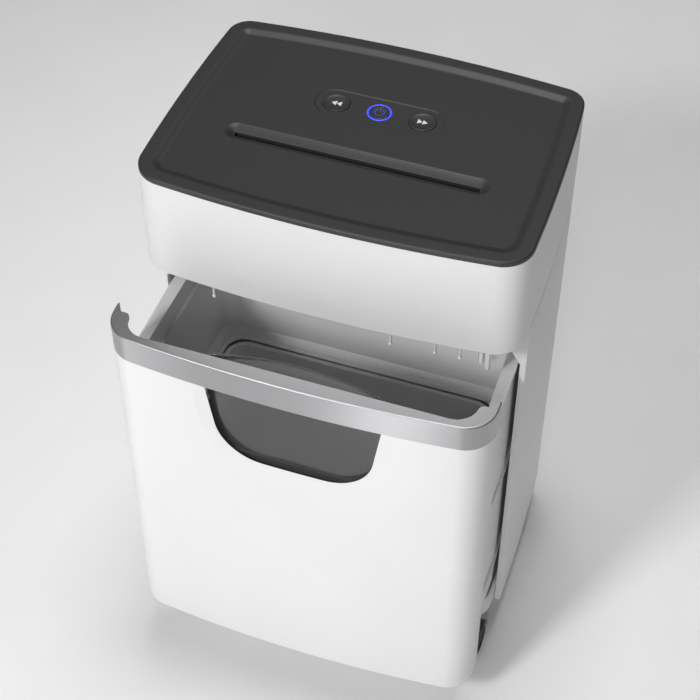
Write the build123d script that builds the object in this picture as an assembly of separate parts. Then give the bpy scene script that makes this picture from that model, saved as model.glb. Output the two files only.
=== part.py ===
from build123d import *
import math
import os

# Paper shredder with a pull-out bin, shown with the bin part of the way out.
# Millimetres, +Z up, front faces -Y, the floor is z = 0 and x = 0 is the middle.
# Plan places are given from the cabinet's middle and moved by CAB_Y.

# Plan outline that the head, the cabinet and the bin's front share
FRONT_W = 345.0
REAR_W = 331.2
PLAN_D = 226.9
FRONT_BOW = 10.45
REAR_BOW = 9.6
SIDE_BOW = 3.7
FRONT_CORNER = 28.0
REAR_CORNER = 20.5
WALL = 3.0
SEAM_TURN = 45.0
FRONT_Y = -PLAN_D / 2
REAR_Y = PLAN_D / 2

# How far the bin stands out at rest
BIN_OPEN = 83.0
CAB_Y = (BIN_OPEN + FRONT_BOW - REAR_BOW) / 2

# Heights, stacked from the floor
CASTOR_H = 46.0
TRAY_H = 28.0
PANEL_LIFT = 6.0
PANEL_H = 370.0
BAND_H = 28.5
HEAD_GAP = 1.5
HEAD_H = 105.0
DECK_EDGE = 5.0
PANEL_Z = CASTOR_H + PANEL_LIFT
BAND_Z = PANEL_Z + PANEL_H
BAND_TOP = BAND_Z + BAND_H
HEAD_Z = BAND_TOP + HEAD_GAP
DECK_Z = HEAD_Z + HEAD_H
RIM_Z = DECK_Z + DECK_EDGE

# Fits
FIT = 0.3
RUN = 0.04

# Cabinet shell
CAB_FRONT_Y = FRONT_Y + 38.45
CAB_DROP = 2.5
SEAM = 1.0
FLANGE_T = 5.5
FLANGE_D = 8.0
GUSSET_W = 26.0
GUSSET_H = 46.0
GUSSET_T = 3.0
LEDGE_W = 12.0
LEDGE_T = 2.5
LEDGE_Y = REAR_Y - 56.45

# Base tray and the bin's runners
TRAY_FRONT_INSET = 6.2
TRAY_WALL = 2.5
TRAY_FLOOR = 3.0
TRAY_EDGE_R = 3.0
RUNNER_IN = 62.5
RUNNER_W = 12.0
RUNNER_L = 190.0
RUNNER_STEP = 4.0

# Castors
CASTOR_FRONT_X = FRONT_W / 2 - 20.5
CASTOR_REAR_X = REAR_W / 2 - 13.6
CASTOR_FRONT_Y = FRONT_Y + 18.45
CASTOR_REAR_Y = REAR_Y - 38.45
TRAIL = 15.0
WHEEL_R = 17.0
WHEEL_W = 9.8
WHEEL_GAP = 0.5
WEB_T = 7.0
AXLE_R = 2.5
STEM_R = 5.0
STEM_L = 18.0
BOSS_R = 9.0
HOOD_GAP = 1.2
HOOD_T = 2.3

# Bin tub
TUB_FRONT_Y = FRONT_Y + 5.45
TUB_REAR_Y = REAR_Y - 15.45
TUB_FRONT_GAP = 7.7
TUB_REAR_GAP = 5.6
TUB_FRONT_HALF = FRONT_W / 2 - TUB_FRONT_GAP
TUB_REAR_HALF = REAR_W / 2 - TUB_REAR_GAP
TUB_WALL = 2.5
TUB_RIM_W = 9.0
TUB_RIM_T = 3.0
TUB_LIFT = 2.0
TUB_RIM_DROP = 26.0
TUB_COLLAR_H = 24.0
TUB_COLLAR_STEP = 3.0
TUB_LEDGE_DROP = 129.0
TUB_LEDGE_W = 14.0
TUB_CORNER_R = 18.0
TUB_SOFT_R = 7.0
TUB_LEDGE_R = 6.0
TUB_SKIRT_IN = 5.0
TUB_RIB_IN = 0.5
TUB_RIB_T = 2.5
TUB_RIB_STEP = 138.5
TUB_RIBS = 2

# Bin front panel and window
PANEL_REAR_Y = FRONT_Y + 34.45
LIP_T = 2.6
LIP_UP = 25.0
LIP_DOWN = 10.0
WINDOW_TOP_HALF = 78.0
WINDOW_FOOT_HALF = 64.0
WINDOW_H = 80.0
WINDOW_R = 24.0
BEVEL_W = 12.0
BEVEL_D = 1.3
PANEL_RIB_INS = (22.5, 72.5)
PANEL_RIB_T = 3.0
PANEL_RIB_MARGIN = 46.0

# Handle band
BAND_T = 2.6
BAND_FLANGE_T = 3.0
BAND_FLANGE_Y = FRONT_Y + 3.95
BAND_GRIP = 15.5
BAND_SIDE_HALF = FRONT_W / 2 - BAND_GRIP
BAND_END_Y = FRONT_Y + 26.45
BAND_TIP_Y = FRONT_Y + 35.45
BAND_INNER_R = 20.0

# Window cup
CUP_T = 2.0
CUP_DROP = 3.5
CUP_HALF = 71.0
CUP_SIDE_Y = FRONT_Y + 10.45
CUP_BACK_Y = FRONT_Y + 22.45
CUP_FLARE = 4.0

# Gears, plates and slot, stacked inwards from the head's right-hand wall
GEAR_CLEAR = 3.6
GEAR_W = 8.0
SMALL_GEAR_W = 6.0
GEAR_SPACE = 2.0
TIMING_OFF = 3.0
COVER_T = 2.0
PLATE_T = 3.0
COVER_X = REAR_W / 2 - WALL - GEAR_CLEAR - COVER_T
FIRST_X = COVER_X - GEAR_SPACE - SMALL_GEAR_W
SECOND_X = FIRST_X - GEAR_SPACE - SMALL_GEAR_W
DRIVE_X = SECOND_X - GEAR_SPACE - GEAR_W
TIMING_X = DRIVE_X - GEAR_SPACE - GEAR_W
PLATE_X = TIMING_X - TIMING_OFF - PLATE_T
HUB_X = PLATE_X + PLATE_T + FIT

# Top deck
DECK_R = 2.0
DECK_PLATE_T = 2.0
FIELD_INSET = 14.0
FIELD_D = 2.5
FIELD_R = 1.4
SLOT_Y = -32.0
SLOT_END = 3.0
SLOT_L = 2 * (PLATE_X - SLOT_END)
SLOT_W = 5.0
FLARE_OUT = 6.5
FLARE_L = SLOT_L + 2 * FLARE_OUT
FLARE_W = 21.0
FLARE_D = 4.0
BUTTON_Y = 32.0
BUTTON_PITCH = 39.5
PILL_L = 118.0
PILL_W = 35.0
PILL_D = 0.8

# Buttons and light ring
BUTTON_R = 12.0
POWER_R = 9.2
RING_R = 11.1
BUTTON_PROUD = 1.0
BUTTON_EDGE = 0.7
BUTTON_TRAVEL = 1.2
BUTTON_FLANGE = 1.4
BUTTON_FLANGE_T = 1.6
BUTTON_STEM_R = 3.0

# Control board
BOARD_X = 65.0
BOARD_D = 34.0
BOARD_T = 1.6
BOARD_DROP = 15.4
POST_R = 3.0
POST_IN = 5.0
SWITCH_W = 6.0
SWITCH_H = 4.0
PLUNGER_R = 1.6
PLUNGER_H = 1.0

# Throat guide under the slot
GUIDE_IN = 2.5
GUIDE_X = PLATE_X - GUIDE_IN
GUIDE_T = 2.0
GUIDE_TOP = 6.0
GUIDE_FOOT = 5.0
GUIDE_H = 36.0
GUIDE_END_T = 2.0

# Cutter unit
GUARD_T = 3.0
CUTTER_UP = 42.0
SHAFT_GAP = 36.0
DISC_R = 20.3
DISC_T = 4.2
DISC_PITCH = 9.0
DISC_END = 4.0
DISCS = int((2 * PLATE_X - DISC_END) / DISC_PITCH) - 1
HOOKS = 6
HOOK_D = 3.2
HOOK_ANGLE = 5.0
HEX_FLATS = 16.0
HEX_END = 1.0
JOURNAL_R = 7.0
BUSH_R = 10.0
GEAR_HEX_FLATS = 11.0
ROD_R = 4.0
ROD_Y = 44.0
ROD_UP = 27.0
COMB_BAR = 8.0
COMB_BAR_Y = 42.0
COMB_BAR_H = 40.0
COMB_T = 4.0
COMB_REACH = 8.0
COMB_GAP = 22.0
COMB_ARM = 7.0
PLATE_MARGIN = 10.0
PLATE_TOP_UP = 36.0

# Gear train on the right-hand plate
TIMING_TEETH = 24
TIMING_MODULE = SHAFT_GAP / TIMING_TEETH
DRIVE_TEETH = 48
DRIVE_PINION = 12
SECOND_TEETH = 40
SECOND_PINION = 12
SECOND_MODULE = 1.25
FIRST_TEETH = 44
MOTOR_TEETH = 10
FIRST_MODULE = 1.0
TOOTH_TIP = 0.7
TOOTH_ROOT = 1.1
TOOTH_SLOPE = 0.36
TOOTH_SLACK = 0.15
SECOND_ANGLE = 15.0
FIRST_ANGLE = -10.0
MOTOR_ANGLE = 40.0
PIN_R = 4.0
HUB_R = 5.6
COVER_MARGIN = 8.0
COVER_POST = 8.0

# Motor
MOTOR_R = 28.0
MOTOR_L = 72.0
MOTOR_BELL_R = 22.0
MOTOR_BELL_L = 9.0
MOTOR_SHAFT_R = 3.0
MOTOR_SLOTS = 8
MOTOR_SLOT_W = 5.0
MOTOR_SLOT_L = 22.0
MOTOR_SLOT_D = 3.0
MOTOR_CLEAR_R = 8.0

# Lower guard
CHIP_IN = 4.0
CHIP_X = PLATE_X - CHIP_IN
CHIP_FRONT = 44.0
CHIP_REAR = 44.0
PEG_R = 1.2
PEG_L = 40.0
PEGS = ((-113.5, 21.45), (55.0, 17.95), (95.0, 20.95), (117.5, 21.95))
STUB_R = 2.5
STUBS = ((136.5, 23.45, 39.0), (143.0, 20.45, 42.0), (146.5, 27.45, 35.0))

# Head cover bosses, vents and cord gland
HEAD_BOSSES = ((80.0, FRONT_Y + 5.45), (140.0, REAR_Y - 9.45))
HEAD_BOSS_R = 5.0
HEAD_BOSS_H = 40.0
HEAD_RIB_T = 4.0
SCREW_R = 1.6
SCREW_HEAD_R = 3.2
SCREW_HEAD_H = 2.0
SCREW_L = 16.0
VENT_X = 70.0
VENTS = 11
VENT_PITCH = 8.0
VENT_W = 3.5
VENT_H = 44.0
VENT_UP = 34.0
GLAND_X = -110.0
GLAND_UP = 26.0
GLAND_R = 7.0
GLAND_HEAD_R = 9.5
GLAND_HEAD_T = 3.0
GLAND_BORE_R = 3.4
GLAND_BORE_L = 9.0
GLAND_L = 12.0

# Bin switch and paper sensor
BIN_SWITCH_IN = 30.0
BIN_SWITCH_X = BIN_SWITCH_IN - TUB_REAR_HALF
BIN_SWITCH_SIZE = (20.0, 6.4, 10.0)
BIN_PLUNGER_R = 1.5
BIN_PLUNGER_L = 9.0
SENSOR_W = 8.0
SENSOR_D = 6.0
SENSOR_H = 16.0
SENSOR_OFF = 9.0

# Small sizes of the pieces above
CAP_T = 2.8
BAND_EDGE_R = 1.2
HEAD_EDGE_R = 1.5
SWITCH_POST = 6.0
CUP_FOOT = 5.0
CUP_MID_SHARE = 0.35
CUP_HIGH_SHARE = 0.7
CUP_MID_Y = FRONT_Y + 4.45
CUP_MID_BOW = 10.0
GLAND_PAD = 0.9
SCREW_SINK = 2.0
BASE_SCREW_XS = (-100.0, 0.0, 100.0)
POST_FRONT = 26.0
POST_BACK = 24.0
POST_MID = 16.0
POST_RISE = 34.0
POST_DROP = 28.0

# Places worked out from the sizes above
CAB_Z = CASTOR_H - CAB_DROP
CAB_TOP = HEAD_Z - SEAM
TRAY_TOP = CASTOR_H + TRAY_H
TUB_Z = TRAY_TOP + TUB_LIFT
TUB_RIM_Z = BAND_Z - TUB_RIM_DROP
TUB_LEDGE_Z = TUB_RIM_Z - TUB_LEDGE_DROP
CUP_TOP_Z = BAND_TOP - CUP_DROP
WINDOW_Z = BAND_Z - WINDOW_H
PLATE_Z = HEAD_Z + GUARD_T
CUTTER_Z = HEAD_Z + CUTTER_UP
NIP_Y = CAB_Y + SLOT_Y
FRONT_SHAFT = (NIP_Y - SHAFT_GAP / 2, CUTTER_Z)
REAR_SHAFT = (NIP_Y + SHAFT_GAP / 2, CUTTER_Z)
DECK_UNDER_Z = DECK_Z - DECK_PLATE_T
FIELD_Z = RIM_Z - FIELD_D
BUTTON_FLOOR_Z = FIELD_Z - PILL_D
BOARD_Z = DECK_UNDER_Z - BOARD_DROP - BOARD_T
BASE_SCREW_Z = CASTOR_H + TRAY_H / 2
BIN_SWITCH_Y = CAB_Y + TUB_REAR_Y - TUB_RIM_W / 2

NODES = {}
OUTLINES = {}


def bowed_side(start, middle, end, inset):
    """All that lies inside one bowed side; the circle's own start is turned away from the plan."""
    arc = ThreePointArc(start, middle, end)
    return Pos(arc.arc_center) * Rot(0, 0, SEAM_TURN) * Circle(arc.radius - inset)


def outline(inset=0.0):
    """The bowed plan outline, drawn in by inset on every side."""
    if inset not in OUTLINES:
        front, rear = FRONT_Y, REAR_Y
        half_f, half_r = FRONT_W / 2, REAR_W / 2
        side = (half_f + half_r) / 2 + SIDE_BOW
        plan = bowed_side((-half_f, front), (0, front - FRONT_BOW), (half_f, front), inset)
        plan &= bowed_side((half_r, rear), (0, rear + REAR_BOW), (-half_r, rear), inset)
        plan &= bowed_side((half_f, front), (side, 0), (half_r, rear), inset)
        plan &= bowed_side((-half_r, rear), (-side, 0), (-half_f, front), inset)
        plan = fillet(plan.vertices().group_by(Axis.Y)[0], FRONT_CORNER - inset)
        plan = fillet(plan.vertices().group_by(Axis.Y)[-1], REAR_CORNER - inset)
        OUTLINES[inset] = Pos(0, CAB_Y, 0) * plan
    return OUTLINES[inset]


def rear_face_y(x):
    """Where the outline's bowed back stands at x."""
    return CAB_Y + REAR_Y + REAR_BOW * (1 - (2 * x / REAR_W) ** 2)


def slab(sketch, low, high):
    """A plan sketch raised from one height to another."""
    return extrude(Pos(0, 0, low) * sketch, amount=high - low)


def slab_x(sketch, low, high):
    """A sketch of the YZ plane run along X."""
    return extrude(Plane.YZ.offset(low) * sketch, amount=high - low)


def slab_y(sketch, low, high):
    """A sketch of the XZ plane run along Y."""
    return extrude(Plane.XZ.offset(-high) * sketch, amount=high - low)


def ring(outer, inner, low, high):
    """A wall that follows the outline, between two insets."""
    return slab(outline(outer), low, high) - slab(outline(inner), low, high)


def block(x0, x1, y0, y1, z0, z1):
    return Pos((x0 + x1) / 2, (y0 + y1) / 2, (z0 + z1) / 2) * Box(x1 - x0, y1 - y0, z1 - z0)


def ahead(y):
    """All the space in front of a plan place y."""
    return block(-FRONT_W, FRONT_W, CAB_Y - PLAN_D, CAB_Y + y, 0, 2 * RIM_Z)


def behind(y):
    """All the space behind a plan place y."""
    return block(-FRONT_W, FRONT_W, CAB_Y + y, CAB_Y + PLAN_D, 0, 2 * RIM_Z)


def rod_z(x, y, radius, low, high):
    return slab(Pos(x, y) * Circle(radius), low, high)


def rod_x(place, radius, low, high):
    return slab_x(Pos(*place) * Circle(radius), low, high)


def rod_y(x, z, radius, low, high):
    return slab_y(Pos(x, z) * Circle(radius), low, high)


def polygon(*points):
    return make_face(Polyline(*points, close=True))


def hexagon(flats):
    return RegularPolygon(flats / 2 / math.cos(math.pi / 6), 6)


def stud_z(x, y, flats, low, high):
    return slab(Pos(x, y) * hexagon(flats), low, high)


def stud_y(x, z, flats, low, high):
    return slab_y(Pos(x, z) * hexagon(flats), low, high)


def both_sides(solid):
    return [solid, mirror(solid, about=Plane.YZ)]


# Cabinet shell: one moulding of two sides and a back, open in front
def cabinet_shell():
    body = ring(0, WALL, CAB_Z, CAB_TOP) & behind(CAB_FRONT_Y)
    flange = ring(0, FLANGE_T, CAB_Z, CAB_TOP) & behind(CAB_FRONT_Y) & ahead(CAB_FRONT_Y + FLANGE_D)
    ledge = ring(WALL / 2, WALL + LEDGE_W, HEAD_Z - LEDGE_T, HEAD_Z) & behind(LEDGE_Y)
    outer_x = FRONT_W / 2
    inner_x = outer_x - FLANGE_T - GUSSET_W
    web = slab_y(
        polygon((outer_x, CAB_TOP), (inner_x, CAB_TOP), (outer_x - FLANGE_T, CAB_TOP - GUSSET_H),
                (outer_x, CAB_TOP - GUSSET_H)),
        CAB_Y + CAB_FRONT_Y, CAB_Y + CAB_FRONT_Y + GUSSET_T,
    ) & slab(outline(WALL / 2), CAB_Z, CAB_TOP)
    body = body + flange + ledge + both_sides(web)
    for x in BASE_SCREW_XS:
        body -= base_screw(x)
    return body


# Base tray: low walled floor that stands on the castors and carries the bin
def base_screw(x):
    face = rear_face_y(x)
    seat = face - SCREW_SINK
    shank = stud_y(x, BASE_SCREW_Z, 2 * SCREW_R, face - SCREW_L, seat)
    return shank + stud_y(x, BASE_SCREW_Z, 2 * SCREW_HEAD_R, seat, seat + SCREW_HEAD_H)


def castor_places():
    return {
        "front_left": (-CASTOR_FRONT_X, CAB_Y + CASTOR_FRONT_Y),
        "front_right": (CASTOR_FRONT_X, CAB_Y + CASTOR_FRONT_Y),
        "rear_left": (-CASTOR_REAR_X, CAB_Y + CASTOR_REAR_Y),
        "rear_right": (CASTOR_REAR_X, CAB_Y + CASTOR_REAR_Y),
    }


def base_tray():
    tray = slab(outline(TRAY_FRONT_INSET), CASTOR_H, TRAY_TOP)
    tray = chamfer(tray.edges().group_by(Axis.Z)[0], TRAY_EDGE_R)
    tray += slab(outline(WALL), CASTOR_H, TRAY_TOP) & behind(CAB_FRONT_Y + FLANGE_D)
    tray -= slab(outline(TRAY_FRONT_INSET + TRAY_WALL), CASTOR_H + TRAY_FLOOR, TRAY_TOP)
    for x, y in castor_places().values():
        tray += block(x - BOSS_R, x + BOSS_R, y - BOSS_R, y + BOSS_R,
                      CASTOR_H, CASTOR_H + STEM_L + TRAY_FLOOR)
        tray -= rod_z(x, y, STEM_R + RUN, CASTOR_H, CASTOR_H + STEM_L + FIT)
    for x in BASE_SCREW_XS:
        tray += base_screw_boss(x)
        tray -= base_screw(x)
    return tray


def base_screw_boss(x):
    face = rear_face_y(x)
    return stud_y(x, BASE_SCREW_Z, 2 * HEAD_BOSS_R, face - SCREW_L - WALL, face - TRAY_FRONT_INSET)


def runner(x):
    top = TUB_Z - FIT
    foot = CASTOR_H + TRAY_FLOOR
    y0, y1 = CAB_Y - RUNNER_L / 2, CAB_Y + RUNNER_L / 2
    strip = block(x - RUNNER_W / 2, x + RUNNER_W / 2, y0, y1, foot, top)
    wide = RUNNER_W / 2 + RUNNER_STEP
    return strip + block(x - wide, x + wide, y0, y1, foot, foot + RUNNER_STEP)


# Castors: a hood that swivels on a stem, with two wheels on one turning axle
def castor(name, x, y):
    wheel = (y - TRAIL, WHEEL_R)
    top = CASTOR_H - 2 * FIT
    half_web = WEB_T / 2
    inner = half_web + WHEEL_GAP
    outer = inner + WHEEL_W
    guard_r = WHEEL_R + HOOD_GAP
    neck_r = BOSS_R - HOOD_GAP
    low_z = wheel[1] - neck_r
    web = polygon((wheel[0] - neck_r, low_z), (wheel[0] + neck_r, low_z), (y + neck_r, top - neck_r),
                  (y + neck_r, top), (y - neck_r, top), (wheel[0] - neck_r, wheel[1]))
    hood = slab_x(web, x - half_web, x + half_web)
    guard = Pos(*wheel) * (Circle(guard_r + HOOD_T) - Circle(guard_r))
    above = Pos(wheel[0], wheel[1] + HOOD_T + guard_r) * Rectangle(PLAN_D, 2 * guard_r)
    hood += slab_x(guard & above, x - outer, x + outer)
    hood += rod_z(x, y, STEM_R, top, CASTOR_H + STEM_L)
    hood -= rod_x(wheel, AXLE_R + RUN, x - half_web, x + half_web)
    axle_end = outer - CAP_T
    key = hexagon(2 * AXLE_R * math.cos(math.pi / 6))
    wheels = []
    for side in (-1, 1):
        near, far = sorted((x + side * inner, x + side * outer))
        disc = rod_x(wheel, WHEEL_R, near, far)
        seat = sorted((x + side * inner, x + side * axle_end))
        disc -= slab_x(Pos(*wheel) * key, *seat)
        wheels.append(disc)
    axle = rod_x(wheel, AXLE_R, x - inner, x + inner)
    axle += slab_x(Pos(*wheel) * key, x - axle_end, x + axle_end)
    NODES[name + "_castor_hood"] = hood
    NODES[name + "_castor_wheels"] = Compound([w.solid() for w in wheels])
    NODES[name + "_castor_axle"] = axle


# Bin: tub, front panel, handle band and window cup, placed closed and then drawn out
def drawn_out(solid):
    return Pos(0, -BIN_OPEN, 0) * solid


def tub_plan(inset, front_in, corner):
    half_f, half_r = TUB_FRONT_HALF - inset, TUB_REAR_HALF - inset
    y0, y1 = TUB_FRONT_Y + front_in, TUB_REAR_Y - inset
    plan = polygon((-half_f, y0), (half_f, y0), (half_r, y1), (-half_r, y1))
    plan = fillet(plan.vertices().group_by(Axis.Y)[-1], corner)
    return Pos(0, CAB_Y, 0) * plan


def tub_hollow(low_inset, high_inset, low, high):
    """One storey of the tub's inside, with its wall upright or sloping."""
    return loft([
        Pos(0, 0, low) * tub_plan(low_inset, TUB_WALL, TUB_CORNER_R),
        Pos(0, 0, high) * tub_plan(high_inset, TUB_WALL, TUB_CORNER_R),
    ], ruled=True)


def bin_tub():
    collar = TUB_RIM_W - TUB_WALL
    middle = collar + TUB_COLLAR_STEP
    low = middle + TUB_LEDGE_W
    outer_r = TUB_CORNER_R + TUB_WALL
    collar_z = TUB_RIM_Z - TUB_COLLAR_H
    inside_panel = outline(WALL + FIT)
    rim = tub_plan(0, 0, outer_r + collar) & inside_panel
    tub = slab(rim, TUB_RIM_Z - TUB_RIM_T, TUB_RIM_Z)
    tub += slab(tub_plan(collar, 0, outer_r), collar_z - TUB_WALL, TUB_RIM_Z)
    tub += slab(tub_plan(middle, 0, outer_r), TUB_LEDGE_Z - TUB_WALL, TUB_RIM_Z)
    tub += slab(tub_plan(low, 0, outer_r), TUB_Z, TUB_LEDGE_Z)
    skirt_r = outer_r + collar - TUB_SKIRT_IN
    skirt = tub_plan(TUB_SKIRT_IN, 0, skirt_r) & inside_panel
    tub += slab(skirt, TUB_Z, TUB_RIM_Z) - slab(
        tub_plan(TUB_SKIRT_IN + TUB_WALL, 0, skirt_r - TUB_WALL), TUB_Z, TUB_RIM_Z)
    for k in range(1, TUB_RIBS + 1):
        rib_z = TUB_RIM_Z - k * TUB_RIB_STEP
        rib = tub_plan(TUB_RIB_IN, 0, outer_r + collar - TUB_RIB_IN) & inside_panel
        tub += slab(rib, rib_z - TUB_RIB_T, rib_z)
    well, upper = low + TUB_WALL, middle + TUB_WALL
    floor_z = TUB_Z + TUB_WALL
    tub -= tub_hollow(well + TUB_SOFT_R, well, floor_z, floor_z + TUB_SOFT_R)
    tub -= tub_hollow(well, well, floor_z + TUB_SOFT_R, TUB_LEDGE_Z - TUB_LEDGE_R)
    tub -= tub_hollow(well, well - TUB_LEDGE_R, TUB_LEDGE_Z - TUB_LEDGE_R, TUB_LEDGE_Z)
    tub -= tub_hollow(upper + TUB_LEDGE_R, upper, TUB_LEDGE_Z, TUB_LEDGE_Z + TUB_LEDGE_R)
    tub -= tub_hollow(upper, upper, TUB_LEDGE_Z + TUB_LEDGE_R, TUB_RIM_Z)
    tub -= slab(tub_plan(TUB_RIM_W, TUB_WALL, TUB_CORNER_R), collar_z, TUB_RIM_Z)
    notch = CUP_HALF + CUP_FLARE + 2 * CUP_T
    y0 = CAB_Y + TUB_FRONT_Y
    tub -= block(-notch, notch, y0, y0 + TUB_RIM_W, WINDOW_Z - BEVEL_W, TUB_RIM_Z)
    rear = CAB_Y + TUB_REAR_Y - TUB_RIM_W / 2
    half = SWITCH_POST / 2
    tub += block(BIN_SWITCH_X - half, BIN_SWITCH_X + half, rear - half, rear + half,
                 TUB_RIM_Z - TUB_RIM_T, HEAD_Z + GUARD_T - BIN_PLUNGER_L - FIT)
    return drawn_out(tub)


def window_sketch():
    tall = BAND_Z + WINDOW_H
    slope = (WINDOW_TOP_HALF - WINDOW_FOOT_HALF) / WINDOW_H
    wide = WINDOW_TOP_HALF + slope * (tall - BAND_Z)
    shape = polygon((-wide, tall), (wide, tall), (WINDOW_FOOT_HALF, WINDOW_Z),
                    (-WINDOW_FOOT_HALF, WINDOW_Z))
    return fillet(shape.vertices().group_by(Axis.Y)[0], WINDOW_R)


def front_panel():
    near, far = CAB_Y - PLAN_D, CAB_Y
    panel = ring(0, WALL, PANEL_Z, BAND_Z) & ahead(PANEL_REAR_Y)
    panel += ring(BAND_T, BAND_T + LIP_T, BAND_Z - LIP_DOWN, BAND_Z + LIP_UP) & ahead(BAND_END_Y)
    ribs = []
    for rib_in in PANEL_RIB_INS:
        x = FRONT_W / 2 - rib_in
        rib = block(x - PANEL_RIB_T / 2, x + PANEL_RIB_T / 2, near, CAB_Y + TUB_FRONT_Y,
                    PANEL_Z + PANEL_RIB_MARGIN, TUB_RIM_Z - PANEL_RIB_T)
        ribs += both_sides(rib & slab(outline(WALL / 2), PANEL_Z, BAND_Z))
    panel += ribs
    cut = slab_y(window_sketch(), near, far) & block(-FRONT_W, FRONT_W, near, far, PANEL_Z, BAND_Z)
    border = slab_y(offset(window_sketch(), amount=BEVEL_W), near, far)
    border = border & ring(0, BEVEL_D, PANEL_Z, BAND_Z)
    return drawn_out(panel - border - cut)


def handle_band():
    band = slab(outline(), BAND_Z, BAND_TOP)
    band = chamfer(band.edges().group_by(Axis.Z)[-1], BAND_EDGE_R) & ahead(BAND_TIP_Y)
    band -= slab(outline(BAND_T), BAND_Z, BAND_TOP - BAND_FLANGE_T)
    band -= slab(outline(BAND_T), BAND_Z, BAND_TOP) & behind(BAND_END_Y)
    opening = polygon((-BAND_SIDE_HALF, BAND_FLANGE_Y), (BAND_SIDE_HALF, BAND_FLANGE_Y),
                      (BAND_SIDE_HALF, 0), (-BAND_SIDE_HALF, 0))
    opening = fillet(opening.vertices().group_by(Axis.Y)[0], BAND_INNER_R)
    band -= slab(Pos(0, CAB_Y, 0) * opening, BAND_Z, BAND_TOP)
    return drawn_out(band)


def cup_section(z, half, side_y, back_y, inset):
    front = FRONT_Y - FRONT_BOW
    half -= inset
    shape = make_face([
        ThreePointArc((-half, side_y - inset), (0, back_y - inset), (half, side_y - inset)),
        Line((half, side_y - inset), (half + CUP_FLARE, front)),
        Line((half + CUP_FLARE, front), (-half - CUP_FLARE, front)),
        Line((-half - CUP_FLARE, front), (-half, side_y - inset)),
    ])
    return Pos(0, CAB_Y, z) * shape


def cup_form(inset, foot):
    inner_face = FRONT_Y - FRONT_BOW + WALL
    drop = CUP_TOP_Z - foot
    mid_z, high_z = foot + CUP_MID_SHARE * drop, foot + CUP_HIGH_SHARE * drop
    return loft([
        cup_section(foot, WINDOW_FOOT_HALF - CUP_T, inner_face + CUP_T, inner_face + 2 * CUP_T, inset),
        cup_section(mid_z, CUP_HALF - CUP_T, CUP_MID_Y, CUP_MID_Y + CUP_MID_BOW, inset),
        cup_section(high_z, CUP_HALF + CUP_T / 2, CUP_SIDE_Y, CUP_BACK_Y, inset),
        cup_section(CUP_TOP_Z, CUP_HALF, CUP_SIDE_Y, CUP_BACK_Y, inset),
    ], ruled=True)


def window_cup():
    foot = WINDOW_Z - CUP_FOOT
    cup = cup_form(0, foot) - cup_form(CUP_T, foot + CUP_T)
    low = slab(outline(WALL), foot, BAND_Z - LIP_DOWN)
    high = slab(outline(BAND_T + LIP_T), BAND_Z - LIP_DOWN, CUP_TOP_Z)
    return drawn_out(cup & (low + high))


# Head: white cover, dark deck, buttons and what hangs under the deck
def head_cover():
    cover = slab(outline(), HEAD_Z, DECK_Z)
    cover = chamfer(cover.edges().group_by(Axis.Z)[0], HEAD_EDGE_R)
    cover -= slab(outline(WALL), HEAD_Z, DECK_Z)
    inside = slab(outline(WALL / 2), HEAD_Z, DECK_Z)
    foot = HEAD_Z + GUARD_T
    for x, y in HEAD_BOSSES:
        wall_y = math.copysign(PLAN_D, y)
        post = block(x - HEAD_BOSS_R, x + HEAD_BOSS_R, CAB_Y + y - HEAD_BOSS_R,
                     CAB_Y + y + HEAD_BOSS_R, foot, foot + HEAD_BOSS_H)
        y0, y1 = sorted((CAB_Y + y, CAB_Y + wall_y))
        post += block(x - HEAD_RIB_T / 2, x + HEAD_RIB_T / 2, y0, y1, foot, foot + HEAD_BOSS_H) & inside
        post -= stud_z(x, CAB_Y + y, 2 * SCREW_R, foot, foot + SCREW_L)
        cover += both_sides(post)
    rear0, rear1 = CAB_Y + REAR_Y - REAR_CORNER, CAB_Y + PLAN_D
    vent_z = HEAD_Z + VENT_UP
    for k in range(VENTS):
        x = VENT_X + (k - (VENTS - 1) / 2) * VENT_PITCH
        cover -= block(x - VENT_W / 2, x + VENT_W / 2, rear0, rear1, vent_z, vent_z + VENT_H)
    face = rear_face_y(GLAND_X)
    cover += stud_y(GLAND_X, HEAD_Z + GLAND_UP, 2 * GLAND_HEAD_R, face - WALL / 2, face + GLAND_PAD)
    cover -= rod_y(GLAND_X, HEAD_Z + GLAND_UP, GLAND_R, face - GLAND_L, face + GLAND_PAD)
    return cover


def cord_gland():
    seat = rear_face_y(GLAND_X) + GLAND_PAD
    z = HEAD_Z + GLAND_UP
    face = seat + GLAND_HEAD_T
    gland = rod_y(GLAND_X, z, GLAND_R, seat - GLAND_L, seat)
    gland += stud_y(GLAND_X, z, 2 * GLAND_HEAD_R, seat, face)
    return gland - rod_y(GLAND_X, z, GLAND_BORE_R, face - GLAND_BORE_L, face)


def button_places():
    return {"reverse": -BUTTON_PITCH, "power": 0.0, "forward": BUTTON_PITCH}


def board_posts(low, high):
    y = CAB_Y + BUTTON_Y
    off_x, off_y = BOARD_X - POST_IN, BOARD_D / 2 - POST_IN
    corners = [(sx * off_x, y + sy * off_y) for sx in (-1, 1) for sy in (-1, 1)]
    return [stud_z(*corner, 2 * POST_R, low, high) for corner in corners]


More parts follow.
